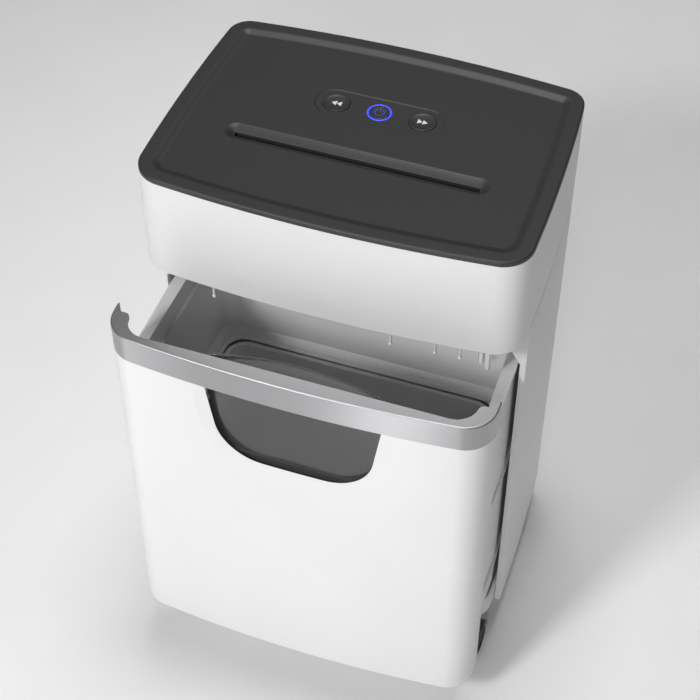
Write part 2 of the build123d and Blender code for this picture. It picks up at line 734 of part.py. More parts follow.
def top_deck():
    deck = slab(outline(), DECK_Z, RIM_Z)
    deck = chamfer(deck.edges().group_by(Axis.Z)[-1], DECK_R)
    deck += slab(outline(WALL), DECK_UNDER_Z, DECK_Z)
    field = slab(outline(FIELD_INSET), FIELD_Z, RIM_Z)
    deck -= chamfer(field.edges().group_by(Axis.Z)[0], FIELD_R)
    slot_y = CAB_Y + SLOT_Y
    deck -= slab(Pos(0, slot_y) * SlotOverall(SLOT_L, SLOT_W), DECK_UNDER_Z, FIELD_Z)
    deck -= loft([
        Pos(0, slot_y, FIELD_Z - FLARE_D) * SlotOverall(SLOT_L, SLOT_W),
        Pos(0, slot_y, FIELD_Z) * SlotOverall(FLARE_L, FLARE_W),
    ], ruled=True)
    deck -= slab(Pos(0, CAB_Y + BUTTON_Y) * SlotOverall(PILL_L, PILL_W), BUTTON_FLOOR_Z, FIELD_Z)
    for name, x in button_places().items():
        radius = RING_R if name == "power" else BUTTON_R + FIT
        deck -= rod_z(x, CAB_Y + BUTTON_Y, radius, DECK_UNDER_Z, FIELD_Z)
    return deck + board_posts(BOARD_Z + BOARD_T, DECK_UNDER_Z)


def light_ring():
    y = CAB_Y + BUTTON_Y
    top = BUTTON_FLOOR_Z + PILL_D / 2
    return rod_z(0, y, RING_R, DECK_UNDER_Z, top) - rod_z(0, y, POWER_R + FIT, DECK_UNDER_Z, top)


def button(x, radius):
    y = CAB_Y + BUTTON_Y
    top = BUTTON_FLOOR_Z + BUTTON_PROUD
    shoulder = DECK_UNDER_Z - FIT
    cap = rod_z(x, y, radius, shoulder, top)
    cap = chamfer(cap.edges().group_by(Axis.Z)[-1], BUTTON_EDGE)
    wide = radius + BUTTON_FLANGE
    cap += block(x - wide, x + wide, y - wide, y + wide, shoulder - BUTTON_FLANGE_T, shoulder)
    foot = BOARD_Z + BOARD_T + SWITCH_H + PLUNGER_H + BUTTON_TRAVEL + FIT
    return cap + stud_z(x, y, 2 * BUTTON_STEM_R, foot, shoulder - BUTTON_FLANGE_T)


def control_board():
    y = CAB_Y + BUTTON_Y
    return block(-BOARD_X, BOARD_X, y - BOARD_D / 2, y + BOARD_D / 2, BOARD_Z, BOARD_Z + BOARD_T)


def button_switches():
    low = BOARD_Z + BOARD_T
    top = low + SWITCH_H
    y = CAB_Y + BUTTON_Y
    half = SWITCH_W / 2
    switches = []
    for x in button_places().values():
        switch = block(x - half, x + half, y - half, y + half, low, top)
        switch += stud_z(x, y, 2 * PLUNGER_R, top, top + PLUNGER_H)
        switches.append(switch.solid())
    return Compound(switches)


def throat_guide():
    top, foot = DECK_UNDER_Z, DECK_UNDER_Z - GUIDE_H
    outer_top, outer_foot = GUIDE_TOP / 2 + GUIDE_T, GUIDE_FOOT / 2 + GUIDE_T
    ends = polygon((NIP_Y - outer_top, top), (NIP_Y + outer_top, top), (NIP_Y + outer_foot, foot),
                   (NIP_Y - outer_foot, foot))
    throat = polygon((NIP_Y - GUIDE_TOP / 2, top), (NIP_Y + GUIDE_TOP / 2, top),
                     (NIP_Y + GUIDE_FOOT / 2, foot), (NIP_Y - GUIDE_FOOT / 2, foot))
    inner_x = GUIDE_X - GUIDE_END_T
    return slab_x(ends, -GUIDE_X, GUIDE_X) - slab_x(throat, -inner_x, inner_x)


def paper_sensor():
    half = SENSOR_W / 2
    low = DECK_UNDER_Z - SENSOR_H
    cells = []
    for side in (-1, 1):
        y = NIP_Y + side * SENSOR_OFF
        cells.append(block(-half, half, y - SENSOR_D / 2, y + SENSOR_D / 2, low, DECK_UNDER_Z).solid())
    return Compound(cells)


def guard_screw(x, y):
    head_z = HEAD_Z + FIT
    screw = stud_z(x, y, 2 * SCREW_HEAD_R, head_z, head_z + SCREW_HEAD_H)
    return screw + stud_z(x, y, 2 * SCREW_R, head_z + SCREW_HEAD_H, HEAD_Z + GUARD_T + SCREW_L)


def lower_guard():
    top = HEAD_Z + GUARD_T
    guard = slab(outline(WALL), HEAD_Z, top)
    guard -= block(-CHIP_X, CHIP_X, NIP_Y - CHIP_FRONT, NIP_Y + CHIP_REAR, HEAD_Z, top)
    for x, y in HEAD_BOSSES:
        sunk = guard_screw(x, CAB_Y + y)
        sunk += stud_z(x, CAB_Y + y, 2 * SCREW_HEAD_R, HEAD_Z, HEAD_Z + SCREW_HEAD_H)
        guard -= both_sides(sunk)
    pegs = []
    front = CAB_Y + FRONT_Y
    for x, back in PEGS:
        pegs.append(stud_z(x, front + back, 2 * PEG_R, HEAD_Z - PEG_L, HEAD_Z))
    for x, back, length in STUBS:
        pegs.append(stud_z(x, front + back, 2 * STUB_R, HEAD_Z - length, HEAD_Z))
    guard += pegs
    return guard - stud_z(BIN_SWITCH_X, BIN_SWITCH_Y, 2 * BIN_PLUNGER_R, HEAD_Z, top)


def head_screws():
    screws = []
    for x, y in HEAD_BOSSES:
        screws += [s.solid() for s in both_sides(guard_screw(x, CAB_Y + y))]
    return Compound(screws)


def base_screws():
    return Compound([base_screw(x).solid() for x in BASE_SCREW_XS])


def bin_switch():
    low = HEAD_Z + GUARD_T
    long, deep, high = BIN_SWITCH_SIZE
    body = block(BIN_SWITCH_X - long / 2, BIN_SWITCH_X + long / 2, BIN_SWITCH_Y - deep / 2,
                 BIN_SWITCH_Y + deep / 2, low, low + high)
    return body + stud_z(BIN_SWITCH_X, BIN_SWITCH_Y, 2 * BIN_PLUNGER_R, low - BIN_PLUNGER_L, low)


# Cutter unit: two plates, two hex shafts of hooked discs, combs, rods and bushes
def gear_places():
    def beside(place, distance, angle):
        turn = math.radians(angle)
        return (place[0] + distance * math.cos(turn), place[1] + distance * math.sin(turn))

    second = beside(REAR_SHAFT, TIMING_MODULE * (DRIVE_TEETH + DRIVE_PINION) / 2, SECOND_ANGLE)
    first = beside(second, SECOND_MODULE * (SECOND_TEETH + SECOND_PINION) / 2, FIRST_ANGLE)
    motor = beside(first, FIRST_MODULE * (FIRST_TEETH + MOTOR_TEETH) / 2, MOTOR_ANGLE)
    return second, first, motor


SECOND, FIRST, MOTOR = gear_places()


def cover_posts():
    low_z, high_z = FIRST[1] - POST_DROP, SECOND[1] + POST_RISE
    return [(SECOND[0] - POST_FRONT, high_z), (FIRST[0] + POST_BACK, high_z),
            (FIRST[0] + POST_BACK, low_z), (FIRST[0] - POST_MID, low_z)]


def side_plate(side):
    front, rear = NIP_Y - ROD_Y - PLATE_MARGIN, NIP_Y + ROD_Y + PLATE_MARGIN
    top = CUTTER_Z + PLATE_TOP_UP
    if side < 0:
        shape = polygon((front, PLATE_Z), (rear, PLATE_Z), (rear, top), (front, top))
    else:
        back = MOTOR[0] + MOTOR_R - PLATE_T
        high = MOTOR[1] + MOTOR_R + PLATE_T
        step = cover_posts()[0][0] - PLATE_MARGIN
        shape = polygon((front, PLATE_Z), (back, PLATE_Z), (back, high), (step, high),
                        (step - PLATE_MARGIN, top), (front, top))
        shape -= Pos(*MOTOR) * Circle(MOTOR_CLEAR_R)
        shape -= [Pos(*place) * Circle(PIN_R) for place in (SECOND, FIRST)]
    shape -= [Pos(*place) * Circle(BUSH_R) for place in (FRONT_SHAFT, REAR_SHAFT)]
    low, far = sorted((side * PLATE_X, side * (PLATE_X + PLATE_T)))
    return slab_x(shape, low, far)


def tie_rods():
    places = [(NIP_Y + sy * ROD_Y, CUTTER_Z + sz * ROD_UP) for sy in (-1, 1) for sz in (-1, 1)]
    return Compound([rod_x(place, ROD_R, -PLATE_X, PLATE_X).solid() for place in places])


def shaft_bushes():
    bushes = []
    for place in (FRONT_SHAFT, REAR_SHAFT):
        outer = PLATE_X + PLATE_T
        bush = rod_x(place, BUSH_R, PLATE_X, outer) - rod_x(place, JOURNAL_R + RUN, PLATE_X, outer)
        bushes += [b.solid() for b in both_sides(bush)]
    return Compound(bushes)


def cutter_shaft(place, gear_end):
    inner = PLATE_X - HEX_END
    journal_end = TIMING_X - HEX_END
    shaft = slab_x(Pos(*place) * hexagon(HEX_FLATS), -inner, inner)
    shaft += rod_x(place, JOURNAL_R, -journal_end, -inner)
    shaft += rod_x(place, JOURNAL_R, inner, journal_end)
    return shaft + slab_x(Pos(*place) * hexagon(GEAR_HEX_FLATS), journal_end, gear_end)


def disc_places(shift):
    return [(k - (DISCS - 1) / 2) * DISC_PITCH + shift for k in range(DISCS)]


def cutter_discs(place, shift, turn):
    points = []
    for k in range(HOOKS):
        start = turn * 2 * math.pi * k / HOOKS
        back = start + turn * math.radians(HOOK_ANGLE)
        points.append((DISC_R * math.cos(start), DISC_R * math.sin(start)))
        points.append(((DISC_R - HOOK_D) * math.cos(back), (DISC_R - HOOK_D) * math.sin(back)))
    face = Pos(*place) * (polygon(*points) - hexagon(HEX_FLATS))
    return Compound([slab_x(face, x - DISC_T / 2, x + DISC_T / 2).solid() for x in disc_places(shift)])


def stripper(side, shift):
    bar_near = NIP_Y + side * COMB_BAR_Y
    bar_far = bar_near + side * COMB_BAR
    tip = NIP_Y + side * COMB_REACH
    y0, y1 = sorted((bar_near, bar_far))
    comb = block(-PLATE_X, PLATE_X, y0, y1, CUTTER_Z - COMB_BAR_H / 2, CUTTER_Z + COMB_BAR_H / 2)
    arms = []
    for x in disc_places(shift):
        for up in (-1, 1):
            near_z = CUTTER_Z + up * COMB_GAP / 2
            far_z = near_z + up * COMB_ARM
            arm = polygon((bar_near, near_z), (tip, near_z), (tip + side * COMB_ARM, far_z),
                          (bar_near, far_z))
            arms.append(slab_x(arm, x - COMB_T / 2, x + COMB_T / 2))
    return comb + arms


def gear_face(teeth, module, phase):
    pitch_r = module * teeth / 2
    tip_r = pitch_r + TOOTH_TIP * module
    root_r = pitch_r - TOOTH_ROOT * module
    half = math.pi * module / 4 - TOOTH_SLACK * module
    tip = (half - (tip_r - pitch_r) * TOOTH_SLOPE) / tip_r
    root = (half + (pitch_r - root_r) * TOOTH_SLOPE) / root_r
    points = []
    for k in range(teeth):
        middle = phase + 2 * math.pi * k / teeth
        for radius, turn in ((root_r, -root), (tip_r, -tip), (tip_r, tip), (root_r, root)):
            points.append((radius * math.cos(middle + turn), radius * math.sin(middle + turn)))
    return polygon(*points)


def meshed(phase, teeth, place, other_teeth, other_place):
    """The phase that puts another gear's gap on this gear's tooth."""
    angle = math.atan2(other_place[1] - place[1], other_place[0] - place[0])
    share = (angle - phase) * teeth / (2 * math.pi)
    return angle + math.pi - (0.5 - share) * 2 * math.pi / other_teeth


def gear(place, teeth, module, phase, low, width):
    return slab_x(Pos(*place) * gear_face(teeth, module, phase), low, low + width)


def gear_train():
    key = hexagon(GEAR_HEX_FLATS)
    rear = gear(REAR_SHAFT, TIMING_TEETH, TIMING_MODULE, 0, TIMING_X, GEAR_W)
    NODES["rear_timing_gear"] = rear - slab_x(Pos(*REAR_SHAFT) * key, TIMING_X, TIMING_X + GEAR_W)
    phase = meshed(0, TIMING_TEETH, REAR_SHAFT, TIMING_TEETH, FRONT_SHAFT)
    front = gear(FRONT_SHAFT, TIMING_TEETH, TIMING_MODULE, phase, TIMING_X, GEAR_W)
    NODES["front_timing_gear"] = front - slab_x(Pos(*FRONT_SHAFT) * key, TIMING_X, TIMING_X + GEAR_W)
    drive = gear(REAR_SHAFT, DRIVE_TEETH, TIMING_MODULE, 0, DRIVE_X, GEAR_W)
    NODES["drive_gear"] = drive - slab_x(Pos(*REAR_SHAFT) * key, DRIVE_X, DRIVE_X + GEAR_W)

    phase = meshed(0, DRIVE_TEETH, REAR_SHAFT, DRIVE_PINION, SECOND)
    second = gear(SECOND, DRIVE_PINION, TIMING_MODULE, phase, DRIVE_X, GEAR_W)
    second += rod_x(SECOND, HUB_R, HUB_X, SECOND_X)
    second += gear(SECOND, SECOND_TEETH, SECOND_MODULE, phase, SECOND_X, SMALL_GEAR_W)
    NODES["second_gear"] = second - rod_x(SECOND, PIN_R + RUN, HUB_X, SECOND_X + SMALL_GEAR_W)

    phase = meshed(phase, SECOND_TEETH, SECOND, SECOND_PINION, FIRST)
    first = gear(FIRST, SECOND_PINION, SECOND_MODULE, phase, SECOND_X, SMALL_GEAR_W)
    first += rod_x(FIRST, HUB_R, HUB_X, FIRST_X)
    first += gear(FIRST, FIRST_TEETH, FIRST_MODULE, phase, FIRST_X, SMALL_GEAR_W)
    NODES["first_gear"] = first - rod_x(FIRST, PIN_R + RUN, HUB_X, FIRST_X + SMALL_GEAR_W)

    phase = meshed(phase, FIRST_TEETH, FIRST, MOTOR_TEETH, MOTOR)
    pinion = gear(MOTOR, MOTOR_TEETH, FIRST_MODULE, phase, FIRST_X, SMALL_GEAR_W)
    tail = PLATE_X - MOTOR_L - MOTOR_BELL_L
    NODES["motor_shaft"] = pinion + rod_x(MOTOR, MOTOR_SHAFT_R, tail, FIRST_X)


def gear_pins():
    return Compound([rod_x(place, PIN_R, PLATE_X, COVER_X + COVER_T).solid() for place in (SECOND, FIRST)])


def gear_cover():
    posts = cover_posts()
    ys = [p[0] for p in posts]
    zs = [p[1] for p in posts]
    far = COVER_X + COVER_T
    cover = block(COVER_X, far, min(ys) - COVER_MARGIN, max(ys) + COVER_MARGIN,
                  min(zs) - COVER_MARGIN, max(zs) + COVER_MARGIN)
    cover -= [rod_x(place, PIN_R, COVER_X, far) for place in (SECOND, FIRST)]
    half = COVER_POST / 2
    low = PLATE_X + PLATE_T
    return cover + [block(low, COVER_X, y - half, y + half, z - half, z + half) for y, z in posts]


def motor():
    rear = PLATE_X - MOTOR_L
    can = rod_x(MOTOR, MOTOR_R, rear, PLATE_X)
    can += rod_x(MOTOR, MOTOR_BELL_R, rear - MOTOR_BELL_L, rear)
    slot_x = rear + MOTOR_SLOT_W
    for k in range(MOTOR_SLOTS):
        slot = block(slot_x, slot_x + MOTOR_SLOT_L, MOTOR_R - MOTOR_SLOT_D, MOTOR_R, -MOTOR_SLOT_W / 2,
                     MOTOR_SLOT_W / 2)
        can -= Pos(0, *MOTOR) * (Rot(360 * k / MOTOR_SLOTS, 0, 0) * slot)
    return can - rod_x(MOTOR, MOTOR_SHAFT_R + RUN, rear - MOTOR_BELL_L, PLATE_X)


NODES["cabinet_shell"] = cabinet_shell()
NODES["base_tray"] = base_tray()
NODES["left_runner"] = runner(RUNNER_IN - FRONT_W / 2)
NODES["right_runner"] = runner(FRONT_W / 2 - RUNNER_IN)
for castor_name, (castor_x, castor_y) in castor_places().items():
    castor(castor_name, castor_x, castor_y)
NODES["bin_tub"] = bin_tub()
NODES["front_panel"] = front_panel()
NODES["handle_band"] = handle_band()
NODES["window_cup"] = window_cup()
NODES["head_cover"] = head_cover()
NODES["cord_gland"] = cord_gland()
NODES["top_deck"] = top_deck()
NODES["light_ring"] = light_ring()
for button_name, button_x in button_places().items():
    NODES[button_name + "_button"] = button(button_x, POWER_R if button_name == "power" else BUTTON_R)
NODES["control_board"] = control_board()
NODES["button_switches"] = button_switches()
NODES["throat_guide"] = throat_guide()
NODES["paper_sensor"] = paper_sensor()
NODES["lower_guard"] = lower_guard()
NODES["head_screws"] = head_screws()
NODES["base_screws"] = base_screws()
NODES["bin_switch"] = bin_switch()
NODES["left_side_plate"] = side_plate(-1)
NODES["right_side_plate"] = side_plate(1)
NODES["tie_rods"] = tie_rods()
NODES["shaft_bushes"] = shaft_bushes()
NODES["front_cutter_shaft"] = cutter_shaft(FRONT_SHAFT, TIMING_X + GEAR_W)
NODES["rear_cutter_shaft"] = cutter_shaft(REAR_SHAFT, DRIVE_X + GEAR_W)
NODES["front_cutter_discs"] = cutter_discs(FRONT_SHAFT, -DISC_PITCH / 4, 1)
NODES["rear_cutter_discs"] = cutter_discs(REAR_SHAFT, DISC_PITCH / 4, -1)
NODES["front_stripper"] = stripper(-1, DISC_PITCH / 4)
NODES["rear_stripper"] = stripper(1, -DISC_PITCH / 4)
gear_train()
NODES["gear_pins"] = gear_pins()
NODES["gear_cover"] = gear_cover()
NODES["motor"] = motor()

os.makedirs("parts", exist_ok=True)
for node_name, node_shape in NODES.items():
    export_step(node_shape, f"parts/{node_name}.step")
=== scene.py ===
import math

import bmesh
import bpy
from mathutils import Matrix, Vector


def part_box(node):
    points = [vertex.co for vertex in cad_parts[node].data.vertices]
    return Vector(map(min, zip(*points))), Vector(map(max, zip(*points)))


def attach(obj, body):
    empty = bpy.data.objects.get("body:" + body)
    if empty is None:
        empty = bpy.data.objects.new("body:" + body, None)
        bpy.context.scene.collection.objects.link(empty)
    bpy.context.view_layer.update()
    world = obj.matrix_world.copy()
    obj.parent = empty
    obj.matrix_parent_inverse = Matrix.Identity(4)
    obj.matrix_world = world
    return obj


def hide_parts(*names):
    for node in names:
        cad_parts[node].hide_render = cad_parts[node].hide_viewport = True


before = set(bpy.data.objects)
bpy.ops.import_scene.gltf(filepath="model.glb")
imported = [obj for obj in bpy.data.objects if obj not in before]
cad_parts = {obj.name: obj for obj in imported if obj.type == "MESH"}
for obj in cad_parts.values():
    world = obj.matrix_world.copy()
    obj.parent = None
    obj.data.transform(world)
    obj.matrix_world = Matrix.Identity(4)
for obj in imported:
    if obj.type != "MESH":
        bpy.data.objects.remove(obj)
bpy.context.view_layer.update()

# Base tray: a low walled moulding of light grey plastic that the whole cabinet stands on.
# Its lower edge is rounded off, and two black runners on its floor carry the bin.
MM = 0.001
SMOOTH = math.radians(32)
WELD = 0.002 * MM


def moulded(name, colour, roughness, grain, relief):
    """Moulded plastic: a fine even grain, and a faint broad unevenness of tone and gloss."""
    finish = bpy.data.materials.new(name)
    finish.use_nodes = True
    nodes, links = finish.node_tree.nodes, finish.node_tree.links
    shader = nodes["Principled BSDF"]
    place = nodes.new("ShaderNodeTexCoord")
    fine = nodes.new("ShaderNodeTexNoise")
    fine.inputs["Scale"].default_value = grain
    fine.inputs["Detail"].default_value = 3
    broad = nodes.new("ShaderNodeTexNoise")
    broad.inputs["Scale"].default_value = 9
    broad.inputs["Detail"].default_value = 2
    tone = nodes.new("ShaderNodeMix")
    tone.data_type = "RGBA"
    tone.inputs["A"].default_value = [c * 0.965 for c in colour] + [1]
    tone.inputs["B"].default_value = [min(1, c * 1.025) for c in colour] + [1]
    gloss = nodes.new("ShaderNodeMapRange")
    gloss.inputs["To Min"].default_value = roughness - 0.06
    gloss.inputs["To Max"].default_value = roughness + 0.06
    skin = nodes.new("ShaderNodeBump")
    skin.inputs["Strength"].default_value = relief
    skin.inputs["Distance"].default_value = 0.1 * MM
    for noise in (fine, broad):
        links.new(place.outputs["Object"], noise.inputs["Vector"])
    links.new(broad.outputs["Fac"], tone.inputs["Factor"])
    links.new(tone.outputs["Result"], shader.inputs["Base Color"])
    links.new(fine.outputs["Fac"], gloss.inputs["Value"])
    links.new(gloss.outputs["Result"], shader.inputs["Roughness"])
    links.new(fine.outputs["Fac"], skin.inputs["Height"])
    links.new(skin.outputs["Normal"], shader.inputs["Normal"])
    return finish


def dress(finish, *names):
    """Gives CAD nodes a finish, with their loose triangles welded and smooth between sharp edges."""
    for name in names:
        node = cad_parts[name]
        node.data.materials.clear()
        node.data.materials.append(finish)
        node.data.polygons.foreach_set("use_smooth", [True] * len(node.data.polygons))
        weld = node.modifiers.new("weld", "WELD")
        weld.merge_threshold = WELD
        node.modifiers.new("edges", "EDGE_SPLIT").split_angle = math.radians(28)


def alone(piece):
    bpy.ops.object.select_all(action="DESELECT")
    piece.select_set(True)
    bpy.context.view_layer.objects.active = piece


def softened(name, node, round_mm, steps, sharp):
    """A copy of a CAD node, welded, its flats joined again, with its sharp edges rounded."""
    piece = bpy.data.objects.new(name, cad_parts[node].data.copy())
    bpy.context.scene.collection.objects.link(piece)
    alone(piece)
    bpy.ops.object.mode_set(mode="EDIT")
    bpy.ops.mesh.select_mode(type="EDGE")
    bpy.ops.mesh.select_all(action="SELECT")
    bpy.ops.mesh.remove_doubles(threshold=WELD)
    bpy.ops.mesh.dissolve_limited(angle_limit=math.radians(0.4))
    bpy.ops.mesh.select_all(action="DESELECT")
    bpy.ops.mesh.edges_select_sharp(sharpness=math.radians(sharp))
    bpy.ops.mesh.bevel(offset=round_mm * MM, segments=steps, affect="EDGES", clamp_overlap=True)
    bpy.ops.object.mode_set(mode="OBJECT")
    bpy.ops.object.shade_smooth_by_angle(angle=SMOOTH)
    return piece


def belongs(piece, body, slot, finish, *nodes):
    """Puts a finished piece on its body, with its finish and the nodes it stands for; the slot is not used.
    """
    piece.data.materials.clear()
    piece.data.materials.append(finish)
    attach(piece, body)
    if nodes:
        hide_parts(*nodes)


tray_plastic = moulded("tray_plastic", (0.74, 0.74, 0.74), 0.42, 1500, 0.12)
tray = softened("tray_moulding", "base_tray", 0.8, 2, 30)
belongs(tray, "cabinet", "tray_plastic", tray_plastic, "base_tray")
black_plastic = moulded("black_plastic", (0.022, 0.022, 0.023), 0.45, 1300, 0.2)
dress(black_plastic, "left_runner", "right_runner")

# Castors: twin wheels of black nylon on a steel axle, under a hood that swivels on its stem.
# Each wheel has a rounded tread and a hub cap set back in its outer face.
WHEEL_R = 17.0
WHEEL_IN = 4.0
WHEEL_OUT = 13.8
WHEEL_STEPS = 56
wheel_profile = [
    (0.0, WHEEL_IN), (14.6, WHEEL_IN), (16.2, 4.5), (WHEEL_R, 5.7), (WHEEL_R, 12.0), (16.5, 13.1),
    (15.4, WHEEL_OUT), (13.4, WHEEL_OUT), (12.8, 13.4), (12.4, 12.5), (6.4, 12.2), (6.0, 12.6),
    (5.4, 13.2), (4.4, 13.5), (0.0, 13.6),
]
castor_nylon = moulded("castor_nylon", (0.018, 0.018, 0.019), 0.36, 900, 0.15)
castor_tread = moulded("castor_tread", (0.014, 0.014, 0.015), 0.5, 700, 0.35)
steel_bright = moulded("steel_bright", (0.56, 0.56, 0.57), 0.3, 2600, 0.05)
steel_bright.node_tree.nodes["Principled BSDF"].inputs["Metallic"].default_value = 1


def turned(name, profile, centre, axis, steps):
    """A round piece: a profile of (radius, along) spun once about its axis."""
    bpy.ops.object.select_all(action="DESELECT")
    bpy.ops.mesh.primitive_circle_add(vertices=len(profile), radius=MM, location=(0, 0, 0))
    piece = bpy.context.object
    piece.name = name
    across = Vector((0, 0, 1)) if abs(axis.z) < 0.5 else Vector((1, 0, 0))
    bpy.ops.object.mode_set(mode="EDIT")
    shape = bmesh.from_edit_mesh(piece.data)
    shape.verts.ensure_lookup_table()
    for vert, (radius, along) in zip(shape.verts, profile):
        vert.co = centre + (across * radius + axis * along) * MM
    ends = {shape.verts[0], shape.verts[-1]}
    for edge in [edge for edge in shape.edges if set(edge.verts) == ends]:
        shape.edges.remove(edge)
    bmesh.update_edit_mesh(piece.data)
    bpy.ops.mesh.select_all(action="SELECT")
    bpy.ops.mesh.spin(steps=steps, angle=2 * math.pi, center=centre, axis=axis)
    bpy.ops.mesh.select_all(action="SELECT")
    bpy.ops.mesh.remove_doubles(threshold=0.01 * MM)
    bpy.ops.mesh.normals_make_consistent(inside=False)
    bpy.ops.object.mode_set(mode="OBJECT")
    bpy.ops.object.shade_smooth_by_angle(angle=math.radians(40))
    return piece


def joined(name, pieces):
    bpy.ops.object.select_all(action="DESELECT")
    for piece in pieces:
        piece.select_set(True)
    bpy.context.view_layer.objects.active = pieces[0]
    bpy.ops.object.join()
    pieces[0].name = name
    return pieces[0]


for corner in ("front_left", "front_right", "rear_left", "rear_right"):
    low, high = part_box(corner + "_castor_wheels")
    hub = (low + high) / 2
    sides = [turned("wheel", wheel_profile, hub, Vector((way, 0, 0)), WHEEL_STEPS) for way in (-1, 1)]
    wheels = joined(corner + "_wheel_pair", sides)
    belongs(wheels, corner + "_wheels", "castor_tread", castor_tread, corner + "_castor_wheels")
    hood = softened(corner + "_hood", corner + "_castor_hood", 0.5, 2, 35)
    belongs(hood, corner + "_castor", "castor_nylon", castor_nylon, corner + "_castor_hood")
    dress(steel_bright, corner + "_castor_axle")

# Cabinet shell: one white moulding of two sides and a back, open in front, screwed to the tray.
# Its front edges are turned in as flanges, with a small gusset at each top corner.
white_plastic = moulded("white_plastic", (0.80, 0.80, 0.80), 0.36, 1700, 0.1)
shell = softened("cabinet_moulding", "cabinet_shell", 0.9, 3, 30)
belongs(shell, "cabinet", "white_plastic", white_plastic, "cabinet_shell")
dress(steel_bright, "base_screws")

# Cutter unit: two zinc-plated plates held apart by rods, with two hex shafts of hooked discs
# in bronze bushes, black strippers between the discs, and a train of gears down from the motor.
cutter_steel = moulded("cutter_steel", (0.30, 0.30, 0.31), 0.34, 1900, 0.25)
cutter_steel.node_tree.nodes["Principled BSDF"].inputs["Metallic"].default_value = 1
bush_bronze = moulded("bush_bronze", (0.50, 0.33, 0.14), 0.45, 2400, 0.3)
bush_bronze.node_tree.nodes["Principled BSDF"].inputs["Metallic"].default_value = 1
gear_nylon = moulded("gear_nylon", (0.74, 0.71, 0.63), 0.42, 1200, 0.1)
motor_paint = moulded("motor_paint", (0.035, 0.035, 0.038), 0.38, 1600, 0.2)
dress(steel_bright, "left_side_plate", "right_side_plate", "tie_rods", "gear_pins", "motor_shaft",
      "front_cutter_shaft", "rear_cutter_shaft", "front_timing_gear", "rear_timing_gear", "drive_gear")
dress(cutter_steel, "front_cutter_discs", "rear_cutter_discs")
dress(bush_bronze, "shaft_bushes")
dress(gear_nylon, "second_gear", "first_gear")
dress(motor_paint, "motor")
dress(black_plastic, "front_stripper", "rear_stripper", "gear_cover", "paper_sensor", "bin_switch")

# Lower guard: the grey plate that closes the head below, screwed up into it.
# Slim pegs hang from it over the bin's front edge, each with a small round end.
bin_plastic = moulded("bin_plastic", (0.82, 0.82, 0.82), 0.40, 1500, 0.12)
CAB_Y = 41.925
HEAD_Z = 452.0
PEG_L = 40.0
PEG_TIP = 2.0
PEGS = ((-113.5, -92.0), (55.0, -95.5), (95.0, -92.5), (117.5, -91.5))
dress(bin_plastic, "lower_guard")
dress(steel_bright, "head_screws")
TIP_TURNS = [math.radians(angle) for angle in range(-90, 61, 15)]
tip_profile = [(PEG_TIP * math.cos(turn), PEG_TIP * math.sin(turn)) for turn in TIP_TURNS] + [(0.6, PEG_TIP)]
tips = [turned("tip", tip_profile, Vector((x, CAB_Y + y, HEAD_Z - PEG_L)) * MM, Vector((0, 0, 1)), 18)
        for x, y in PEGS]
peg_tips = joined("peg_tips", tips)
belongs(peg_tips, "cabinet", "bin_plastic", white_plastic)

# Head cover: the white bowed band of the head, a thin-walled moulding with a rounded lower edge.
# Its back has a row of vents for the motor and a hole for the cord's gland.
FRONT_W, REAR_W, PLAN_D = 345.0, 331.2, 226.9
FRONT_BOW, REAR_BOW, SIDE_BOW = 10.45, 9.6, 3.7
FRONT_CORNER, REAR_CORNER = 28.0, 20.5
WALL = 3.0
DECK_Z = 557.0
RIM_Z = 562.0


def bowed(start, middle, end):
    """Centre and radius of the circle through three plan points."""
    (ax, ay), (bx, by), (cx, cy) = start, middle, end
    twice = 2 * (ax * (by - cy) + bx * (cy - ay) + cx * (ay - by))
    ux = ((ax**2 + ay**2) * (by - cy) + (bx**2 + by**2) * (cy - ay) + (cx**2 + cy**2) * (ay - by)) / twice
    uy = ((ax**2 + ay**2) * (cx - bx) + (bx**2 + by**2) * (ax - cx) + (cx**2 + cy**2) * (bx - ax)) / twice
    return Vector((ux, uy)), math.hypot(ax - ux, ay - uy)


def corner_centre(side_a, side_b, radius, near):
    """Where a corner's own circle sits, touching two bowed sides from inside."""
    (pa, ra), (pb, rb) = (side_a[0], side_a[1] - radius), (side_b[0], side_b[1] - radius)
    gap = (pb - pa).length
    along = (ra**2 - rb**2 + gap**2) / (2 * gap)
    up = math.sqrt(ra**2 - along**2)
    way = (pb - pa) / gap
    foot = pa + way * along
    both = [foot + Vector((-way.y, way.x)) * up * sign for sign in (-1, 1)]
    return min(both, key=lambda place: (place - near).length)


